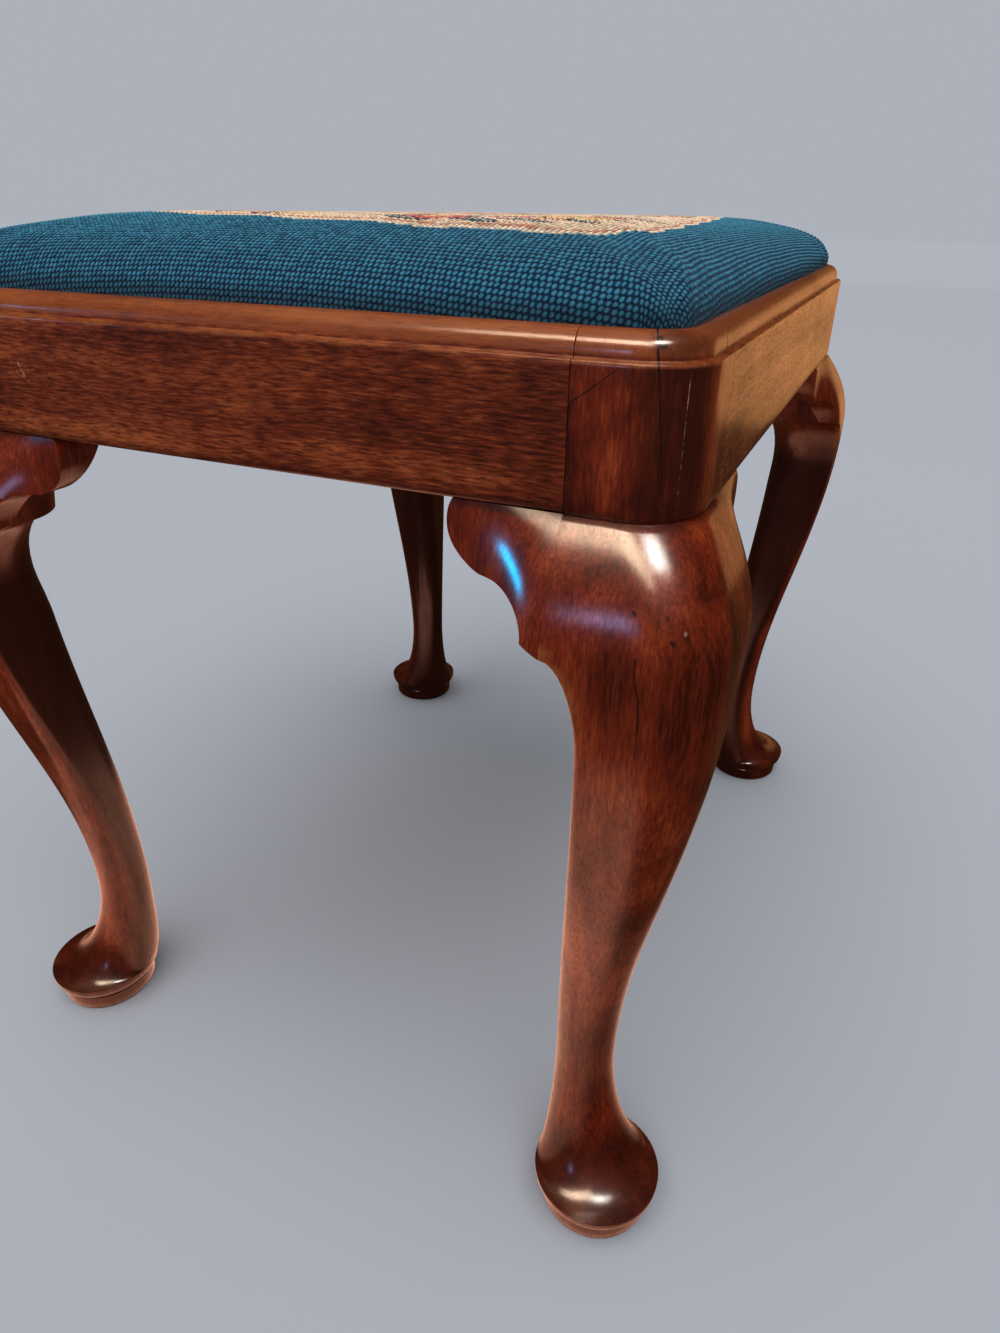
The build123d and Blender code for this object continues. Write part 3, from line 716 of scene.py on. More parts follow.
class STOOL_OT_legs(bpy.types.Operator):
    """Model one cabriole leg with its moulded post, and copy it to the four corners"""

    bl_idname = "stool.legs"
    bl_label = "Cabriole legs"

    def execute(self, context):
        rings = [square_ring(*ring) for ring in (*post_rings(), *shank_rings(), *foot_rings())]
        leg = lofted("leg_pattern", rings)
        low, high = -POST_WIDTH - 20, -LIP_WIDTH
        corner = (CORNER_ROUND - LIP_WIDTH, POST_EDGE, POST_EDGE, POST_EDGE)
        rebate = lofted("rebate", [square_ring(z, low, high, corner) for z in (FRAME_TOP + 5, REBATE_FLOOR)])
        cut(leg, rebate, "DIFFERENCE")
        smoothed(leg)
        self.age(leg.data)
        wood = once("mahogany_upright", mahogany, 2)
        for corner, place in CORNERS.items():
            piece = copied(leg, f"cabriole_leg_{corner}", placed(*place))
            dress(piece, wood, "stool_frame", "mahogany", f"leg_{corner}")
        bpy.data.objects.remove(leg)
        return {"FINISHED"}

    def age(self, mesh):
        """Mark the side edges that hands and feet have rubbed, also painted lighter as a highlight, the inner faces,
        which get painted shade with dark old polish, and the outer post corners, which get painted shade.
        """
        worn = mesh.attributes.new("worn", "FLOAT", "POINT")
        inner = mesh.attributes.new("inner", "FLOAT", "POINT")
        for vert in mesh.vertices:
            x, y, z = vert.co / MM
            inward = -(vert.normal.x + vert.normal.y) / math.sqrt(2)
            below = clamp((inward + 0.15) / 0.6) * clamp((DARK_BELOW - z) / DARK_FADE)
            # Painted shade down the outer corner of the post
            corner_painted_shade = 0.85 * clamp((-inward - 0.78) / 0.16) * (RAIL_BOTTOM < z < ARRIS - 1)
            inner.data[vert.index].value = max(below, corner_painted_shade)
            # Rubbed side edges: wear, also painted lighter as a highlight
            if RUBBED_FROM < z < RAIL_BOTTOM - EAR_DROP + 6:
                back, front = inner_line(z), outer_line(z)
                near = min(math.hypot(x - back, y - front), math.hypot(x - front, y - back))
                worn.data[vert.index].value = (clamp(1.6 - near / RUBBED_WIDTH)
                                                * clamp((z - RUBBED_FROM) / RUBBED_FADE))


# Seat rails
def rail_profile():
    """Section of a rail with its lip and rebate: inward distance and height."""
    section = [(1.6, RAIL_BOTTOM), (0.7, RAIL_BOTTOM + 0.25), (0.2, RAIL_BOTTOM + 0.8), (0, RAIL_BOTTOM + 1.8)]
    section += [(0, RAIL_BOTTOM + (ARRIS - RAIL_BOTTOM) * step / 8) for step in range(1, 8)]
    section += lip_line()
    return section + [(LIP_WIDTH - 0.15, FRAME_TOP - 0.05), (LIP_WIDTH, FRAME_TOP - 0.3), (LIP_WIDTH, REBATE_FLOOR),
                      (RAIL_THICK - 0.4, REBATE_FLOOR), (RAIL_THICK, REBATE_FLOOR - 0.4),
                      (RAIL_THICK, RAIL_BOTTOM + 0.6), (RAIL_THICK - 0.6, RAIL_BOTTOM)]


class STOOL_OT_rails(bpy.types.Operator):
    """Model the four moulded seat rails, slightly uneven as planed by hand"""

    bl_idname = "stool.rails"
    bl_label = "Seat rails"

    def execute(self, context):
        waver = context.scene.stool_wood.waver
        for number, (side, place) in enumerate(SIDES.items()):
            along = 0 if place[0] == 0 else 1
            reach = (HALF_X, HALF_Y)[along] - POST_WIDTH - RAIL_GAP
            rings = []
            for step in range(RAIL_STEPS + 1):
                x = -reach + 2 * reach * step / RAIL_STEPS
                fade = math.sin(math.pi * step / RAIL_STEPS) ** 0.5 if 0 < step < RAIL_STEPS else 0.0
                ring = []
                for y, z in rail_profile():
                    push = noise.noise(Vector((x * 0.03, z * 0.25 + number * 9, y * 0.2))) * waver * fade
                    push *= y < LIP_WIDTH - 1
                    ring.append((x, y + push, z + push * 0.7 * (ARRIS - 2 < z < FRAME_TOP - 0.1)))
                rings.append(ring)
            piece = lofted(f"moulded_rail_{side}", rings)
            piece.data.transform(placed(*place))
            smoothed(piece)
            wood = once(("mahogany_short", "mahogany_long")[along], mahogany, along)
            dress(piece, wood, "stool_frame", "mahogany", f"seat_rail_{side}")
        return {"FINISHED"}


# Knee brackets
def ear_slice(reach):
    """Section of the bracket's blank at a distance from the post."""
    fade = max(EAR_TIP_SWELL, 1 - ease(reach / EAR_REACH))
    heights = [RAIL_BOTTOM - (EAR_DROP + 2) * step / 18 for step in range(19)]
    ring = [(-reach, -max(knee_swell(z), 0) * fade + (0.5 if z >= RAIL_BOTTOM - 0.5 else 0.0), z) for z in heights]
    return ring + [(-reach, EAR_FOOT_BACK, heights[-1]), (-reach, EAR_THICK, RAIL_BOTTOM)]


def arc_through(first, middle, last, steps):
    """Points on the circle through three others."""
    (ax, ay), (bx, by), (cx, cy) = first, middle, last
    scale = 2 * (ax * (by - cy) + bx * (cy - ay) + cx * (ay - by))
    x = ((ax**2 + ay**2) * (by - cy) + (bx**2 + by**2) * (cy - ay) + (cx**2 + cy**2) * (ay - by)) / scale
    y = ((ax**2 + ay**2) * (cx - bx) + (bx**2 + by**2) * (ax - cx) + (cx**2 + cy**2) * (bx - ax)) / scale
    radius = math.hypot(ax - x, ay - y)
    turns = [math.atan2(py - y, px - x) for px, py in (first, middle, last)]
    sweep = (turns[2] - turns[0]) % (2 * math.pi)
    if (turns[1] - turns[0]) % (2 * math.pi) > sweep:
        sweep -= 2 * math.pi
    return [(x + radius * math.cos(turns[0] + sweep * step / steps),
             y + radius * math.sin(turns[0] + sweep * step / steps)) for step in range(steps + 1)]


def ear_outline():
    """Scroll of the bracket: reach from the post and drop under the rail."""
    quarter = 1 - 1 / math.sqrt(2)
    cove = (EAR_CUSP_REACH + (EAR_COVE_REACH - EAR_CUSP_REACH) * quarter,
            EAR_LOBE_DROP + (EAR_CUSP_DROP - EAR_LOBE_DROP) * quarter)
    outline = [(0, EAR_DROP), (0, -2), (EAR_TOP, -2)]
    outline += arc_through((EAR_TOP, 0), (EAR_REACH, EAR_TIP_DROP), (EAR_LOBE_REACH, EAR_LOBE_DROP), 22)
    outline += arc_through((EAR_COVE_REACH, EAR_LOBE_DROP), cove, (EAR_CUSP_REACH, EAR_CUSP_DROP), 16)
    return [(-reach, RAIL_BOTTOM - drop) for reach, drop in outline]


class STOOL_OT_brackets(bpy.types.Operator):
    """Saw one scrolled knee bracket from its shaped blank, and copy it to both sides of every knee"""

    bl_idname = "stool.brackets"
    bl_label = "Knee brackets"

    def execute(self, context):
        bracket = lofted("bracket_pattern", [ear_slice(EAR_REACH * 1.02 * step / 20) for step in range(21)])
        outline = ear_outline()
        saw = lofted("scroll", [[(x, y, z) for x, z in outline] for y in (-KNEE_SWELL - 5, EAR_THICK + 5)])
        cut(bracket, saw, "INTERSECT")
        soften(bracket, 1.0, lambda ends: all(end.x > -0.2 for end in ends)
               or all(end.z > RAIL_BOTTOM - 0.2 for end in ends))
        smoothed(bracket, 40)
        wood = once("mahogany_upright", mahogany, 2)
        for side, place in SIDES.items():
            to_post = ((HALF_X if place[0] == 0 else HALF_Y) - POST_WIDTH) * MM
            for hand, sign in (("a", 1), ("b", -1)):
                mirrored = Matrix.Translation((sign * to_post, 0, 0)) @ Matrix.Diagonal((sign, 1, 1, 1))
                piece = copied(bracket, f"scrolled_bracket_{side}_{hand}", placed(*place) @ mirrored)
                dress(piece, wood, "stool_frame", "mahogany", f"knee_bracket_{side}_{hand}")
        bpy.data.objects.remove(bracket)
        return {"FINISHED"}


# Corner blocks and seat frame
class STOOL_OT_hidden_wood(bpy.types.Operator):
    """Finish the corner blocks and the seat frame in bare timber"""

    bl_idname = "stool.hidden_wood"
    bl_label = "Corner blocks and seat frame"

    def execute(self, context):
        pine = once("pine_block", plain_wood, 0, (0.16, 0.075, 0.028, 1), (0.42, 0.24, 0.105, 1))
        for corner in CORNERS:
            self.finish(f"corner_block_{corner}", pine)
        for side, (x, _, _) in SIDES.items():
            along = 0 if x == 0 else 1
            beech = once(("beech_short", "beech_long")[along], plain_wood, along,
                         (0.21, 0.10, 0.042, 1), (0.46, 0.27, 0.135, 1))
            self.finish(f"seat_frame_{side}", beech)
        return {"FINISHED"}

    def finish(self, node, wood):
        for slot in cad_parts[node].material_slots:
            slot.material = wood


# Webbing and hessian
def strip_height(x, crossings, rises, width, ramp, rise):
    """Height of a strip where it passes over the strips that cross it."""
    height = 0.0
    for place, over in zip(crossings, rises):
        if over:
            away = abs(x - place) - width / 2
            height = max(height, rise * (1 - ease(clamp(away / ramp))))
    return height


class STOOL_OT_webbing(bpy.types.Operator):
    """Weave the jute strips that carry the stuffing"""

    bl_idname = "stool.webbing"
    bl_label = "Webbing"

    def execute(self, context):
        jute, weft, stripe = (0.36, 0.235, 0.115, 1), (0.27, 0.17, 0.08, 1), (0.055, 0.035, 0.025, 1)
        boxes = {name: span_of(name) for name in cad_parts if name.startswith("webbing")}
        middles = {name: [(low + high) / 2 for low, high in zip(*box)] for name, box in boxes.items()}
        for name, (low, high) in boxes.items():
            along = 1 if "long" in name else 0
            width, reach = high[1 - along] - low[1 - along], (high[along] - low[along]) / 2
            others = sorted(other for other in boxes if ("long" in other) != ("long" in name))
            crossings = [middles[other][along] for other in others]
            number = int(name.rsplit("_", 1)[1]) - 1
            rises = [(number + index) % 2 == 1 - along for index in range(len(others))]
            thick = (high[2] - low[2]) / 2
            rings = []
            steps = int(2 * reach / WEB_STEP)
            edge = [step / WEB_PLACES for step in range(WEB_PLACES + 1)]
            for step in range(steps + 1):
                x = -reach + 2 * reach * step / steps
                z = SEAT_TOP + strip_height(x, crossings, rises, width, WEB_RAMP, thick)
                ring = []
                for share, up in [(share, 0.0) for share in edge] + [(1 - share, 1.0) for share in edge]:
                    across = (share - 0.5) * (width - 0.4)
                    ring.append((across, x, z + WEB_EASE + up * (thick - 2 * WEB_EASE)))
                if not along:
                    ring = [(b, a, c) for a, b, c in ring]
                rings.append([(a + middles[name][0] * along, b + middles[name][1] * (1 - along), c)
                              for a, b, c in ring])
            piece = smoothed(lofted(f"jute_{name}", rings))
            cloth = once(f"jute_{name}", woven, 0.0016, along, jute, weft,
                         (middles[name][1 - along] * MM, 0.015, stripe))
            dress(piece, cloth, "drop_in_seat", "webbing", name)
            width * MM
            2 * reach * MM
        return {"FINISHED"}


class STOOL_OT_hessian(bpy.types.Operator):
    """Lay the hessian over the webbing"""

    bl_idname = "stool.hessian"
    bl_label = "Hessian"

    def execute(self, context):
        clear_selection()
        bpy.ops.mesh.primitive_grid_add(x_subdivisions=66, y_subdivisions=86, size=2)
        piece = named("hessian_cloth")
        half_x, half_y = HESSIAN_HIGH[0], HESSIAN_HIGH[1]
        for vert in piece.data.vertices:
            x, y = vert.co.x * half_x, vert.co.y * half_y
            away_x, away_y = abs(x) - (half_x - HESSIAN_CORNER), abs(y) - (half_y - HESSIAN_CORNER)
            if away_x > 0 and away_y > 0 and math.hypot(away_x, away_y) > HESSIAN_CORNER:
                pull = HESSIAN_CORNER / math.hypot(away_x, away_y)
                x = math.copysign(half_x - HESSIAN_CORNER + away_x * pull, x)
                y = math.copysign(half_y - HESSIAN_CORNER + away_y * pull, y)
            vert.co = Vector((x, y, HESSIAN_LOW[2] + 0.1)) * MM
        modify(piece, "SOLIDIFY", thickness=0.0008, offset=1)
        cloth = once("hessian_weave", woven, 0.0022, 1, (0.40, 0.27, 0.13, 1), (0.33, 0.21, 0.10, 1))
        dress(piece, cloth, "drop_in_seat", "hessian", "hessian")
        2 * half_x * MM
        2 * half_y * MM
        return {"FINISHED"}


# Needlework seat
def crown_profile():
    """Canvas length from the flat top outwards, with the inset from the cover's side and the height at it."""
    t = np.sin(np.pi / 2 * np.linspace(1, 0, 700))
    inset = CROWN_RUN * (1 - (1 - t ** CROWN_POWER) ** (1 / CROWN_POWER))
    height = SEAT_TOP + CROWN_HEIGHT * t
    wall = np.linspace(0, 1, 40)[1:]
    inset = np.concatenate([inset, 1.2 * np.maximum(0, (wall - 0.9) / 0.1) ** 2])
    height = np.concatenate([height, SEAT_TOP + (REBATE_FLOOR + 0.2 - SEAT_TOP) * wall])
    length = np.concatenate([[0], np.cumsum(np.hypot(np.diff(inset), np.diff(height)))])
    return length, inset, height


def rounding_at(inset):
    return COVER_CORNER + (CROWN_CORNER - COVER_CORNER) * np.minimum(inset, CROWN_RUN) / CROWN_RUN


def canvas_lengths(u, v):
    """Canvas length from the flat top at flat canvas points, found by halving."""
    length, inset, _ = crown_profile()
    low, high = np.zeros_like(u), np.full_like(u, length[-1])
    for _ in range(34):
        middle = (low + high) / 2
        drawn = np.interp(middle, length, inset)
        straight_x, straight_y = COVER_X - drawn - rounding_at(drawn), COVER_Y - drawn - rounding_at(drawn)
        flat_round = COVER_X - CROWN_RUN + middle - straight_x
        away_x, away_y = np.abs(u) - straight_x, np.abs(v) - straight_y
        outside = (np.hypot(np.maximum(away_x, 0), np.maximum(away_y, 0))
                   + np.minimum(np.maximum(away_x, away_y), 0) - flat_round)
        low, high = np.where(outside > 0, middle, low), np.where(outside > 0, high, middle)
    return (low + high) / 2


def ring_place(u, v, inset, rounding, straight_inset):
    """Point of an outline of the seat that belongs to a flat canvas point."""
    wide_x, wide_y = COVER_X - straight_inset, COVER_Y - straight_inset
    straight_x, straight_y = COVER_X - inset - rounding, COVER_Y - inset - rounding
    away_x, away_y = np.abs(u) - wide_x, np.abs(v) - wide_y
    in_corner = (away_x > 0) & (away_y > 0)
    reach = np.maximum(np.hypot(away_x, away_y), 1e-9)
    side_x = np.where(away_x > away_y, straight_x + rounding, np.abs(u) * straight_x / wide_x)
    side_y = np.where(away_x > away_y, np.abs(v) * straight_y / wide_y, straight_y + rounding)
    x = np.where(in_corner, straight_x + rounding * away_x / reach, side_x)
    y = np.where(in_corner, straight_y + rounding * away_y / reach, side_y)
    return np.copysign(x, u), np.copysign(y, v)


def seat_surface(u, v):
    """Points of the crowned seat for flat canvas points, and the canvas length at each."""
    length, inset, height = crown_profile()
    away = canvas_lengths(u, v)
    drawn = np.interp(away, length, inset)
    x, y = ring_place(u, v, drawn, rounding_at(drawn), drawn + rounding_at(drawn))
    on_top = away < 1e-3
    x, y = np.where(on_top, u, x), np.where(on_top, v, y)
    return np.stack([x, y, np.interp(away, length, height)], 1), away


def pulled(u, v):
    """Where flat canvas points end up once the cover is drawn down at its four corners."""
    share_u, share_v = np.abs(u) / COVER_X, np.abs(v) / COVER_Y
    return u * (1 + 0.05 * share_v ** 2 * share_u), v * (1 + 0.065 * share_u ** 2 * share_v)


# Wools of the flowered panel, and its half sizes in millimetres
ROSE, GOLD, RED, BLUSH = (0.76, 0.30, 0.18), (0.76, 0.46, 0.17), (0.56, 0.09, 0.08), (0.84, 0.50, 0.37)
CREAM, SAND, SHELL, STEM = (0.88, 0.67, 0.46), (0.80, 0.55, 0.34), (0.78, 0.44, 0.32), (0.10, 0.12, 0.10)
LEAF_SHADE, LEAF_LIGHT, LEAF_VEIN = (0.045, 0.075, 0.125), (0.16, 0.22, 0.27), (0.56, 0.44, 0.25)
OUTLINE, STAMENS, EYE = (0.09, 0.035, 0.035), (0.82, 0.62, 0.27), (0.34, 0.03, 0.03)
BORDER, BORDER_LINE = (0.88, 0.70, 0.50), (0.64, 0.27, 0.17)
PANEL_X, PANEL_Y, PANEL_LEAN = 125, 174.5, math.radians(6.5)
GARLAND_X, GARLAND_Y = 98, 147


def posies():
    """Flowers and leaves of an everyday kind: a garland round the panel, a ring of blooms and one in the middle."""
    flowers, leaves = [(0, 0, 54, 8, ROSE, RED)], []
    for spot in range(24):
        turn = math.tau * (spot + 0.5) / 24
        x, y = (reach * math.copysign(math.sqrt(abs(way)), way)
                for reach, way in ((GARLAND_X, math.cos(turn)), (GARLAND_Y, math.sin(turn))))
        flowers.append((x, y, (29, 19, 24)[spot % 3], (5, 4, 6)[spot % 3], (ROSE, GOLD, RED, BLUSH)[spot % 4],
                        (GOLD, RED, BLUSH)[spot % 3]))
        for side in (-1, 1):
            lean = math.degrees(math.atan2(y, x)) + 90 + 40 * side
            leaves.append((x * (1 - 0.10 * side) + 13 * math.sin(turn), y * (1 - 0.07 * side) - 15 * math.cos(turn),
                           27, 10, lean))
    for spot in range(8):
        turn = math.tau * spot / 8
        x, y = 54 * math.cos(turn), 88 * math.sin(turn)
        flowers.append((x, y, (34, 26)[spot % 2], (6, 5)[spot % 2], (BLUSH, GOLD, ROSE)[spot % 3],
                        (RED, ROSE)[spot % 2]))
        for share, side in ((0.52, 1), (0.70, -1), (1.32, 1), (1.36, -1)):
            leaves.append((x * share - 15 * side * math.sin(turn), y * share + 15 * side * math.cos(turn), 30, 11,
                           math.degrees(turn) + 38 * side))
    return flowers, leaves


def wool_colours(u, v, ground):
    """Colour of each stitch, and whether it belongs to the flowered panel."""
    colour = np.tile(np.array(ground[:3]), (len(u), 1))
    wander = 1.6 * np.sin(u / 9.0 + 1) + 1.3 * np.sin(v / 8.0)
    across = u * math.cos(PANEL_LEAN) + v * math.sin(PANEL_LEAN)
    along = v * math.cos(PANEL_LEAN) + u * math.sin(PANEL_LEAN)
    panel = (np.abs(across) / (PANEL_X + wander)) ** 7 + (np.abs(along) / (PANEL_Y + wander)) ** 7
    inside = panel < 1
    chance = np.modf(np.abs(np.sin(np.round(u) * 12.9898 + np.round(v) * 78.233)) * 43758.5453)[0]
    stem = ((np.abs(across) / GARLAND_X) ** 4 + (np.abs(along) / GARLAND_Y) ** 4) ** 0.25
    stem += 0.03 * np.sin(across / 9) * np.sin(along / 11)

    def stitch(where, wool):
        colour[inside & where] = wool

    stitch(inside, CREAM)
    stitch(chance > 0.72, SAND)
    stitch(chance < 0.10, SHELL)
    stitch(np.abs(stem - 1) < 0.013, STEM)
    flowers, leaves = posies()
    for x, y, long, wide, turn in leaves:
        turn = math.radians(turn)
        length = (across - x) * math.cos(turn) + (along - y) * math.sin(turn)
        width = (along - y) * math.cos(turn) - (across - x) * math.sin(turn) + (length / long) ** 2 * 4
        leaf = (length / (long / 2)) ** 2 + (width / (wide / 2)) ** 2
        stitch(leaf < 1, LEAF_SHADE)
        stitch((leaf < 0.6) & (width > 0), LEAF_LIGHT)
        stitch((leaf < 0.8) & (np.abs(width) < 1.1), LEAF_VEIN)
    for x, y, size, petals, outer, inner in flowers:
        away, turn = np.hypot(across - x, along - y), np.arctan2(along - y, across - x)
        lobe = np.abs(np.cos(petals * turn / 2 + x))
        share = away / (size / 2 * (0.74 + 0.26 * lobe ** 0.6))
        bloom = share < 1
        stitch(share < 1.14, OUTLINE)
        stitch(bloom, outer)
        stitch(bloom & (share > 0.80), np.minimum(np.array(outer) * 1.35 + 0.06, 0.9))
        stitch(bloom & (share > 0.32) & (lobe < 0.22), np.array(outer) * 0.42)
        stitch(share < 0.50, inner)
        stitch(share < 0.30, STAMENS)
        stitch(share < 0.15, EYE)
    stitch(panel > 0.86, BORDER)
    stitch((panel > 0.74) & (panel <= 0.86) & (chance > 0.25), BORDER_LINE)
    return np.column_stack([colour, inside])


class STOOL_OT_cushion(bpy.types.Operator):
    """Stuff the crowned pad, stretch the stitched canvas over it and turn it under the seat frame"""

    bl_idname = "stool.cushion"
    bl_label = "Needlework seat"

    def execute(self, context):
        seat = context.scene.stool_seat
        piece = self.canvas(seat.pitch)
        self.stuffed(piece, seat)
        self.stitched(piece, seat)
        self.turned_under(piece)
        self.coloured(piece, seat)
        dress(piece, once("needlework_wool", needlework), "drop_in_seat", "needlework", "needlework_cover", "stuffing")
        return {"FINISHED"}

    def canvas(self, pitch):
        """Flat canvas with four faces to a stitch, bent over the crown; what falls past its foot is cut off."""
        length = crown_profile()[0][-1]
        counts = [4 * math.ceil((half - CROWN_RUN + length) / pitch) for half in (COVER_X, COVER_Y)]
        clear_selection()
        bpy.ops.mesh.primitive_grid_add(x_subdivisions=counts[0], y_subdivisions=counts[1], size=2)
        piece = named("needlework_seat")
        co = values_of(piece.data.vertices, "co", 3)
        grid = np.round((co[:, :2] + 1) / 2 * counts) - np.array(counts) / 2
        flat = grid * pitch / 2
        wander = np.array([noise.noise_vector(Vector((u * 0.028, v * 0.028, 3))) for u, v in flat])[:, :2] * 0.55
        points, away = seat_surface(*pulled(*(flat + wander).T))
        piece.data.vertices.foreach_set("co", (points * MM).ravel())
        stored = piece.data.attributes.new("flat", "FLOAT_VECTOR", "POINT")
        stored.data.foreach_set("vector", np.column_stack([flat, away]).ravel())
        mesh = opened(piece, "FACE")
        layer = mesh.verts.layers.float_vector["flat"]
        for face in mesh.faces:
            face.select_set(all(vert[layer].z > length - 1e-3 for vert in face.verts))
        bmesh.update_edit_mesh(piece.data)
        bpy.ops.mesh.delete(type="FACE")
        bpy.ops.object.mode_set(mode="OBJECT")
        return piece

    def stuffed(self, piece, seat):
        """Blow up a slightly smaller pad under the cover, and draw the canvas part of the way onto it."""
        length, inset, height = crown_profile()
        rings = []
        for away in np.concatenate([np.linspace(length[-1], PAD_SHOULDER, 6),
                                    PAD_SHOULDER * np.linspace(1, 0, 26)[1:]]):
            drawn = np.interp(away, length, inset)
            x, y = COVER_X - drawn - PAD_SMALLER, COVER_Y - drawn - PAD_SMALLER
            z = np.interp(away, length, height) - PAD_LOWER
            corners = rounded_corners((-x, -y), (x, y), [float(rounding_at(drawn))] * 4, 16)
            rings.append([(*point, z) for point in corners])
        pad = lofted("pad_form", rings)
        modify(pad, "REMESH", mode="VOXEL", voxel_size=seat.voxel)
        before = [vert.co.copy() for vert in pad.data.vertices]
        held = pad.vertex_groups.new(name="held")
        held.add([index for index, co in enumerate(before) if co.z < (SEAT_TOP + 1) * MM], 1.0, "REPLACE")
        bpy.ops.object.modifier_add(type="CLOTH")
        cloth = pad.modifiers[-1]
        for key, value in (("quality", 4), ("mass", 0.25), ("use_pressure", True), ("uniform_pressure_force", 4),
                           ("vertex_group_mass", "held")):
            setattr(cloth.settings, key, value)
        cloth.settings.effector_weights.gravity = 0
        cloth.point_cache.frame_start, cloth.point_cache.frame_end = 1, STUFFING_FRAMES
        for step in range(1, STUFFING_FRAMES + 1):
            bpy.context.scene.frame_set(step)
        bpy.ops.object.modifier_apply(modifier=cloth.name)
        bpy.context.scene.frame_set(1)
        for vert, start in zip(pad.data.vertices, before):
            move = vert.co - start
            if move.length > seat.swell:
                vert.co = start + move.normalized() * seat.swell
        modify(pad, "SMOOTH", iterations=3)
        modify(pad, "SUBSURF", levels=1, render_levels=1)
        above = piece.vertex_groups.new(name="above_frame")
        for vert in piece.data.vertices:
            share = clamp((vert.co.z / MM - SEAT_TOP - 1) / 8)
            if share:
                above.add([vert.index], share * STUFFING_SHARE, "REPLACE")
        modify(piece, "SHRINKWRAP", target=pad, wrap_method="TARGET_PROJECT", vertex_group="above_frame")
        piece.vertex_groups.clear()
        bpy.data.objects.remove(pad)

    def stitched(self, piece, seat):
        """Raise every stitch over the canvas, with a few tucks where the cover is drawn round the corners."""
        data = piece.data
        co, normal = values_of(data.vertices, "co", 3), values_of(data.vertex_normals, "vector", 3)
        flat = values_of(data.attributes["flat"].data, "vector", 3)
        even = np.round(flat[:, :2] / (seat.pitch / 2)).astype(int) % 2 == 0
        lift = np.where(even[:, 0], np.where(even[:, 1], 0.0, 0.12), np.where(even[:, 1], 0.42, 1.0))
        low = np.clip((co[:, 2] / MM - SEAT_TOP + 3) / 6, 0.25, 1)
        rise = seat.relief * low * (lift - 0.62)
        u, v, away = flat.T
        corner = np.exp(-((np.abs(u) - TUCK_X) / 40) ** 2) * np.exp(-((np.abs(v) - TUCK_Y) / 42) ** 2)
        foot = np.clip((away - 40) / 40, 0, 1) * low
        rise += corner * foot * TUCK_DEPTH * np.sin((np.abs(u) - np.abs(v)) / 5.2 + 0.6)
        rise += foot * 0.14 * np.sin(v / 11.0 + 2 * np.sin(u / 37.0)) * (np.abs(u) > 100)
        co += normal * (rise * MM)[:, None]
        data.vertices.foreach_set("co", co.ravel())
        data.update()

    def turned_under(self, piece):
        """Turn the edge under the seat frame, and close the pad over the webbing."""
        straight = COVER_CORNER + 1.2
        rings = ((HEM_WIDTH * 0.3, 9.5, REBATE_FLOOR + 0.02), (HEM_WIDTH, 0.8, REBATE_FLOOR + 0.05),
                 (HEM_WIDTH, 0.8, SEAT_BOTTOM - 0.1), (2.1, 11.9, SEAT_BOTTOM - 0.1),
                 (2.1, 11.9, SEAT_TOP + 0.1), (6.0, 10.0, HESSIAN_HIGH[2] + 0.05))
        mesh = opened(piece, "EDGE")
        for edge in mesh.edges:
            edge.select_set(edge.is_boundary)
        bmesh.update_edit_mesh(piece.data)
        for inset, rounding, z in rings:
            bpy.ops.mesh.extrude_edges_indiv()
            mesh = bmesh.from_edit_mesh(piece.data)
            layer = mesh.verts.layers.float_vector["flat"]
            verts = [vert for vert in mesh.verts if vert.select]
            u, v = (np.array([vert[layer][axis] for vert in verts]) for axis in (0, 1))
            x, y = ring_place(u, v, inset, rounding, straight)
            for vert, place_x, place_y in zip(verts, x, y):
                vert.co = Vector((place_x, place_y, z)) * MM
            bmesh.update_edit_mesh(piece.data)
        bpy.ops.mesh.edge_face_add()
        bpy.ops.mesh.select_all(action="SELECT")
        bpy.ops.mesh.remove_doubles(threshold=1e-7)
        bpy.ops.mesh.normals_make_consistent(inside=False)
        bpy.ops.object.mode_set(mode="OBJECT")

    def coloured(self, piece, seat):
        """Store the stitch map and the colour of the wool."""
        data = piece.data
        flat = values_of(data.attributes["flat"].data, "vector", 3)
        corners = values_of(data.loops, "vertex_index", kind=np.int32)
        for layer in list(data.uv_layers):
            data.uv_layers.remove(layer)
        stitches = data.uv_layers.new(name="stitches")
        stitches.data.foreach_set("uv", (flat[corners, :2] / seat.pitch).ravel())
        starts, totals = (values_of(data.polygons, field, kind=np.int32) for field in ("loop_start", "loop_total"))
        middles = np.add.reduceat(flat[corners, :2], starts, axis=0) / totals[:, None]
        cells = (np.floor(middles / seat.pitch) + 0.5) * seat.pitch
        faces = wool_colours(*pulled(cells[:, 0], cells[:, 1]), seat.blue)
        facing = values_of(data.polygons, "normal", 3)
        faces[facing[:, 2] < -0.3] = (*seat.blue[:3], 0)
        wool = data.color_attributes.new("wool", "FLOAT_COLOR", "CORNER")
        wool.data.foreach_set("color", np.repeat(faces, totals, axis=0).ravel())
        data.attributes.remove(data.attributes["flat"])
        smoothed(piece, 60)


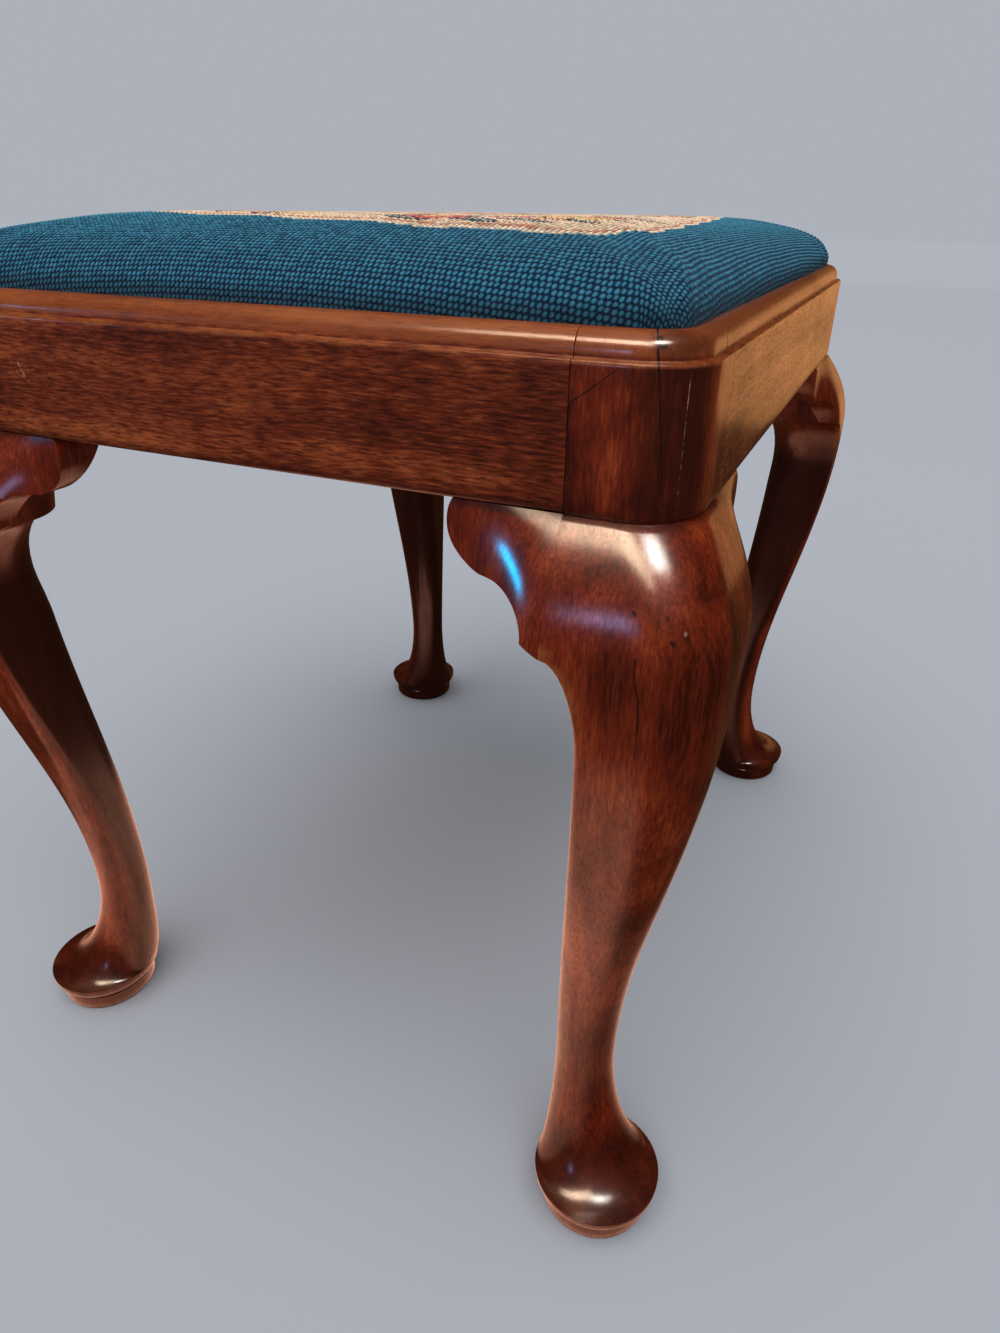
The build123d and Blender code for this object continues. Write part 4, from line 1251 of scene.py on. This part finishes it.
class STOOL_OT_tacks(bpy.types.Operator):
    """Tack the turned-under cover to the seat frame"""

    bl_idname = "stool.tacks"
    bl_label = "Cover tacks"

    def execute(self, context):
        clear_selection()
        bpy.ops.mesh.primitive_cone_add(vertices=10, radius1=2.6 * MM, radius2=1.5 * MM, depth=0.8 * MM)
        tack = named("tack_pattern")
        modify(tack, "BEVEL", width=0.0003, segments=1)
        places = []
        for half_along, half_across, turned in ((HALF_X, HALF_Y, False), (HALF_Y, HALF_X, True)):
            reach = half_along - POST_WIDTH - TACK_END
            count = 2 * round(reach / TACK_APART) + 1
            for step in range(count):
                along = -reach + 2 * reach * step / (count - 1)
                for sign in (-1, 1):
                    across = sign * (half_across - TACK_LINE) + 0.8 * math.sin(step * 2.3 + sign)
                    places.append((across, along) if turned else (along, across))
        heads = []
        for index, (x, y) in enumerate(places):
            below = Matrix.Translation(Vector((x, y, REBATE_FLOOR - 0.35)) * MM) @ Matrix.Rotation(math.pi, 4, "X")
            heads.append(copied(tack, f"tack_{index}", below))
        bpy.data.objects.remove(tack)
        clear_selection()
        for head in heads:
            head.select_set(True)
        context.view_layer.objects.active = heads[0]
        bpy.ops.object.join()
        piece = smoothed(named("cover_tacks"), 30)
        dress(piece, once("blued_steel", blued_steel), "drop_in_seat", "needlework")
        return {"FINISHED"}


# Stage: place, target, size, power, spread, colour and tilt of the lamps
LAMPS = {
    "overhead_softbox": ((0.66, -0.73, 1.50), (0.175, -0.24, 0.36), (0.75, 0.30), 1.3, 30, (1.0, 0.94, 0.84), 0),
    "wide_softbox": ((0.04, -1.04, 1.43), (0.15, -0.24, 0.36), (1.1, 0.42), 5, 60, (1.0, 0.78, 0.54), 0),
    "near_window": ((-0.80, -0.81, 0.50), (0.125, -0.239, 0.351), (0.30, 0.15), 0.060, 10, (0.0, 0.46, 1.0), 42),
    "far_window": ((-0.34, -2.24, 0.72), (0.16, -0.24, 0.33), (0.16, 0.25), 0.20, 60, (0.42, 0.50, 1.0), 0),
}
# Place, turn, size and colour of the boards that only the polish reflects
BOARDS = {
    "warm_wall": ((0.60, 1.70, 0.27), (90, 0, 0), (1.3, 0.74), (0.95, 0.41, 0.15, 1)),
    "warm_floor": ((-0.05, -0.21, 0.0015), (0, 0, 0), (0.64, 0.76), (1.80, 0.80, 0.52, 1)),
    "dim_floor": ((0, 0, 0.001), (0, 0, 0), (12, 12), (0.06, 0.026, 0.012, 1)),
    "dim_ceiling": ((-0.9, 0.2, 2.3), (180, 0, 0), (2.4, 2.4), (0.55, 0.31, 0.16, 1)),
}
DARK_ROOM, BOARD_EDGE = (0.022, 0.012, 0.006, 1), (0.02, 0.009, 0.004, 1)
SUN_POWER, SUN_ANGLE, SUN_WAY = 1.90, 66, (-0.08, 0.36, -1)
CAMERA_PLACE, CAMERA_YAW, CAMERA_DOWN, CAMERA_ROLL = (0.2335, -0.4970, 0.4608), 23.7, 27.9, 0.8


class STOOL_OT_stage(bpy.types.Operator):
    """Set the floor, the light and the camera"""

    bl_idname = "stool.stage"
    bl_label = "Floor, light and camera"

    def execute(self, context):
        scene, stage = context.scene, context.scene.stool_stage
        scene.view_settings.view_transform = "Standard"
        clear_selection()
        bpy.ops.mesh.primitive_plane_add(size=40)
        floor = named("floor")
        material, shader, handle = new_material("floor_paint")
        place = handle.node("ShaderNodeTexCoord", out="Object")
        plug(shader, "Base Color", (place.noise(1.5, 2) * 0.03).blend(stage.floor, (0.30, 0.31, 0.34, 1)))
        plug(shader, "Roughness", 0.85)
        plug(shader, "Specular IOR Level", 0.1)
        floor.data.materials.append(material)
        self.sky(scene, stage)
        self.room()
        for name, values in LAMPS.items():
            self.lamp(name, *values)
        self.sun()
        self.camera(scene, stage)
        return {"FINISHED"}

    def sky(self, scene, stage):
        world = scene.world or bpy.data.worlds.new("studio")
        scene.world = world
        world.use_nodes = True
        tree = world.node_tree
        tree.nodes.clear()
        handle = Shade(tree)
        path = {name: handle.node("ShaderNodeLightPath", out=name)
                for name in ("Is Camera Ray", "Is Glossy Ray", "Is Transmission Ray")}
        seen = path["Is Camera Ray"].maths("MAXIMUM", path["Is Glossy Ray"])
        seen = seen.maths("MAXIMUM", path["Is Transmission Ray"])
        light = handle.node("ShaderNodeBackground", None, {"Color": (0.97, 0.98, 1, 1), "Strength": stage.dome})
        view = handle.node("ShaderNodeBackground", None, {"Color": stage.backdrop, "Strength": 1.0})
        mixed = handle.node("ShaderNodeMixShader", None, {0: seen, 1: light, 2: view})
        handle.node("ShaderNodeOutputWorld", None, {"Surface": mixed})

    def room(self):
        """Dim room that only the polish reflects: dark walls, dim floor and ceiling, warm wall and warm floor."""
        clear_selection()
        bpy.ops.mesh.primitive_uv_sphere_add(segments=24, ring_count=12, radius=7)
        self.reflected(named("dark_room"), DARK_ROOM)
        for name, (place, turn, size, colour) in BOARDS.items():
            clear_selection()
            bpy.ops.mesh.primitive_plane_add(size=1, location=place, rotation=[math.radians(angle) for angle in turn])
            board = named(name)
            board.scale = (*size, 1)
            self.reflected(board, colour)

    def reflected(self, board, colour):
        material, shader, handle = new_material(board.name)
        plug(shader, "Base Color", (0, 0, 0, 1))
        plug(shader, "Specular IOR Level", 0.0)
        if board.name.startswith("warm"):
            spot = handle.node("ShaderNodeTexCoord", out="Object")
            fade = 1.0
            for way in (0, 1):
                fade = spot.axis(way).maths("ABSOLUTE").step(0.5, 0.28) * fade
            cloud = spot.noise(7, 3, 0.6).step(0.25, 0.75) * 0.5 + 0.65
            colour = (fade * cloud).blend(BOARD_EDGE, colour)
        plug(shader, "Emission Color", colour)
        plug(shader, "Emission Strength", 1.0)
        board.data.materials.append(material)
        board.visible_camera = board.visible_diffuse = board.visible_shadow = board.visible_transmission = False

    def lamp(self, name, place, target, size, power, spread, colour, tilt):
        clear_selection()
        bpy.ops.object.light_add(type="AREA", location=place)
        lamp = named(name)
        lamp.data.shape, lamp.data.size, lamp.data.size_y = "RECTANGLE", *size
        lamp.data.energy, lamp.data.color, lamp.data.spread = power, colour, math.radians(spread)
        aim = (Vector(target) - Vector(place)).to_track_quat("-Z", "Y").to_matrix().to_4x4()
        lamp.rotation_euler = (aim @ Matrix.Rotation(math.radians(tilt), 4, "Z")).to_euler()
        lamp.visible_camera = lamp.visible_diffuse = False

    def sun(self):
        clear_selection()
        bpy.ops.object.light_add(type="SUN", location=(0, 0, 3))
        sun = named("soft_sun")
        sun.data.energy, sun.data.angle = SUN_POWER, math.radians(SUN_ANGLE)
        sun.rotation_euler = Vector(SUN_WAY).to_track_quat("-Z", "Y").to_euler()

    def camera(self, scene, stage):
        clear_selection()
        bpy.ops.object.camera_add()
        camera = named("camera")
        camera.data.sensor_fit, camera.data.sensor_height = "VERTICAL", 36
        camera.data.lens = stage.lens
        camera.data.clip_start = 0.01
        yaw, pitch, roll = (math.radians(angle) for angle in (CAMERA_YAW, 90 - CAMERA_DOWN, CAMERA_ROLL))
        camera.matrix_world = (Matrix.Translation(CAMERA_PLACE) @ Matrix.Rotation(yaw, 4, "Z")
                               @ Matrix.Rotation(pitch, 4, "X") @ Matrix.Rotation(roll, 4, "Z"))
        scene.camera = camera


class STOOL_PT_panel(bpy.types.Panel):
    """The stool's pieces, in the order in which they are made"""

    bl_idname = "STOOL_PT_panel"
    bl_label = "Upholstered stool"
    bl_space_type = "VIEW_3D"
    bl_region_type = "UI"
    bl_category = "Stool"

    def draw(self, context):
        for operator in OPERATORS:
            self.layout.operator(operator.bl_idname)
        for settings in GROUPS:
            group = getattr(context.scene, settings)
            for name in group.bl_rna.properties.keys():
                if name not in ("rna_type", "name"):
                    self.layout.prop(group, name)


OPERATORS = (STOOL_OT_legs, STOOL_OT_rails, STOOL_OT_brackets, STOOL_OT_hidden_wood, STOOL_OT_webbing,
             STOOL_OT_hessian, STOOL_OT_cushion, STOOL_OT_tacks, STOOL_OT_stage)
GROUPS = {"stool_wood": WoodSettings, "stool_seat": SeatSettings, "stool_stage": StageSettings}


def register():
    for group in GROUPS.values():
        bpy.utils.register_class(group)
    for name, group in GROUPS.items():
        setattr(bpy.types.Scene, name, bpy.props.PointerProperty(type=group))
    for operator in (*OPERATORS, STOOL_PT_panel):
        bpy.utils.register_class(operator)


def unregister():
    for operator in (*OPERATORS, STOOL_PT_panel):
        bpy.utils.unregister_class(operator)
    for name, group in GROUPS.items():
        delattr(bpy.types.Scene, name)
        bpy.utils.unregister_class(group)


def main():
    register()
    for operator in OPERATORS:
        group, name = operator.bl_idname.split(".")
        getattr(getattr(bpy.ops, group), name)()


if __name__ == "__main__":
    main()
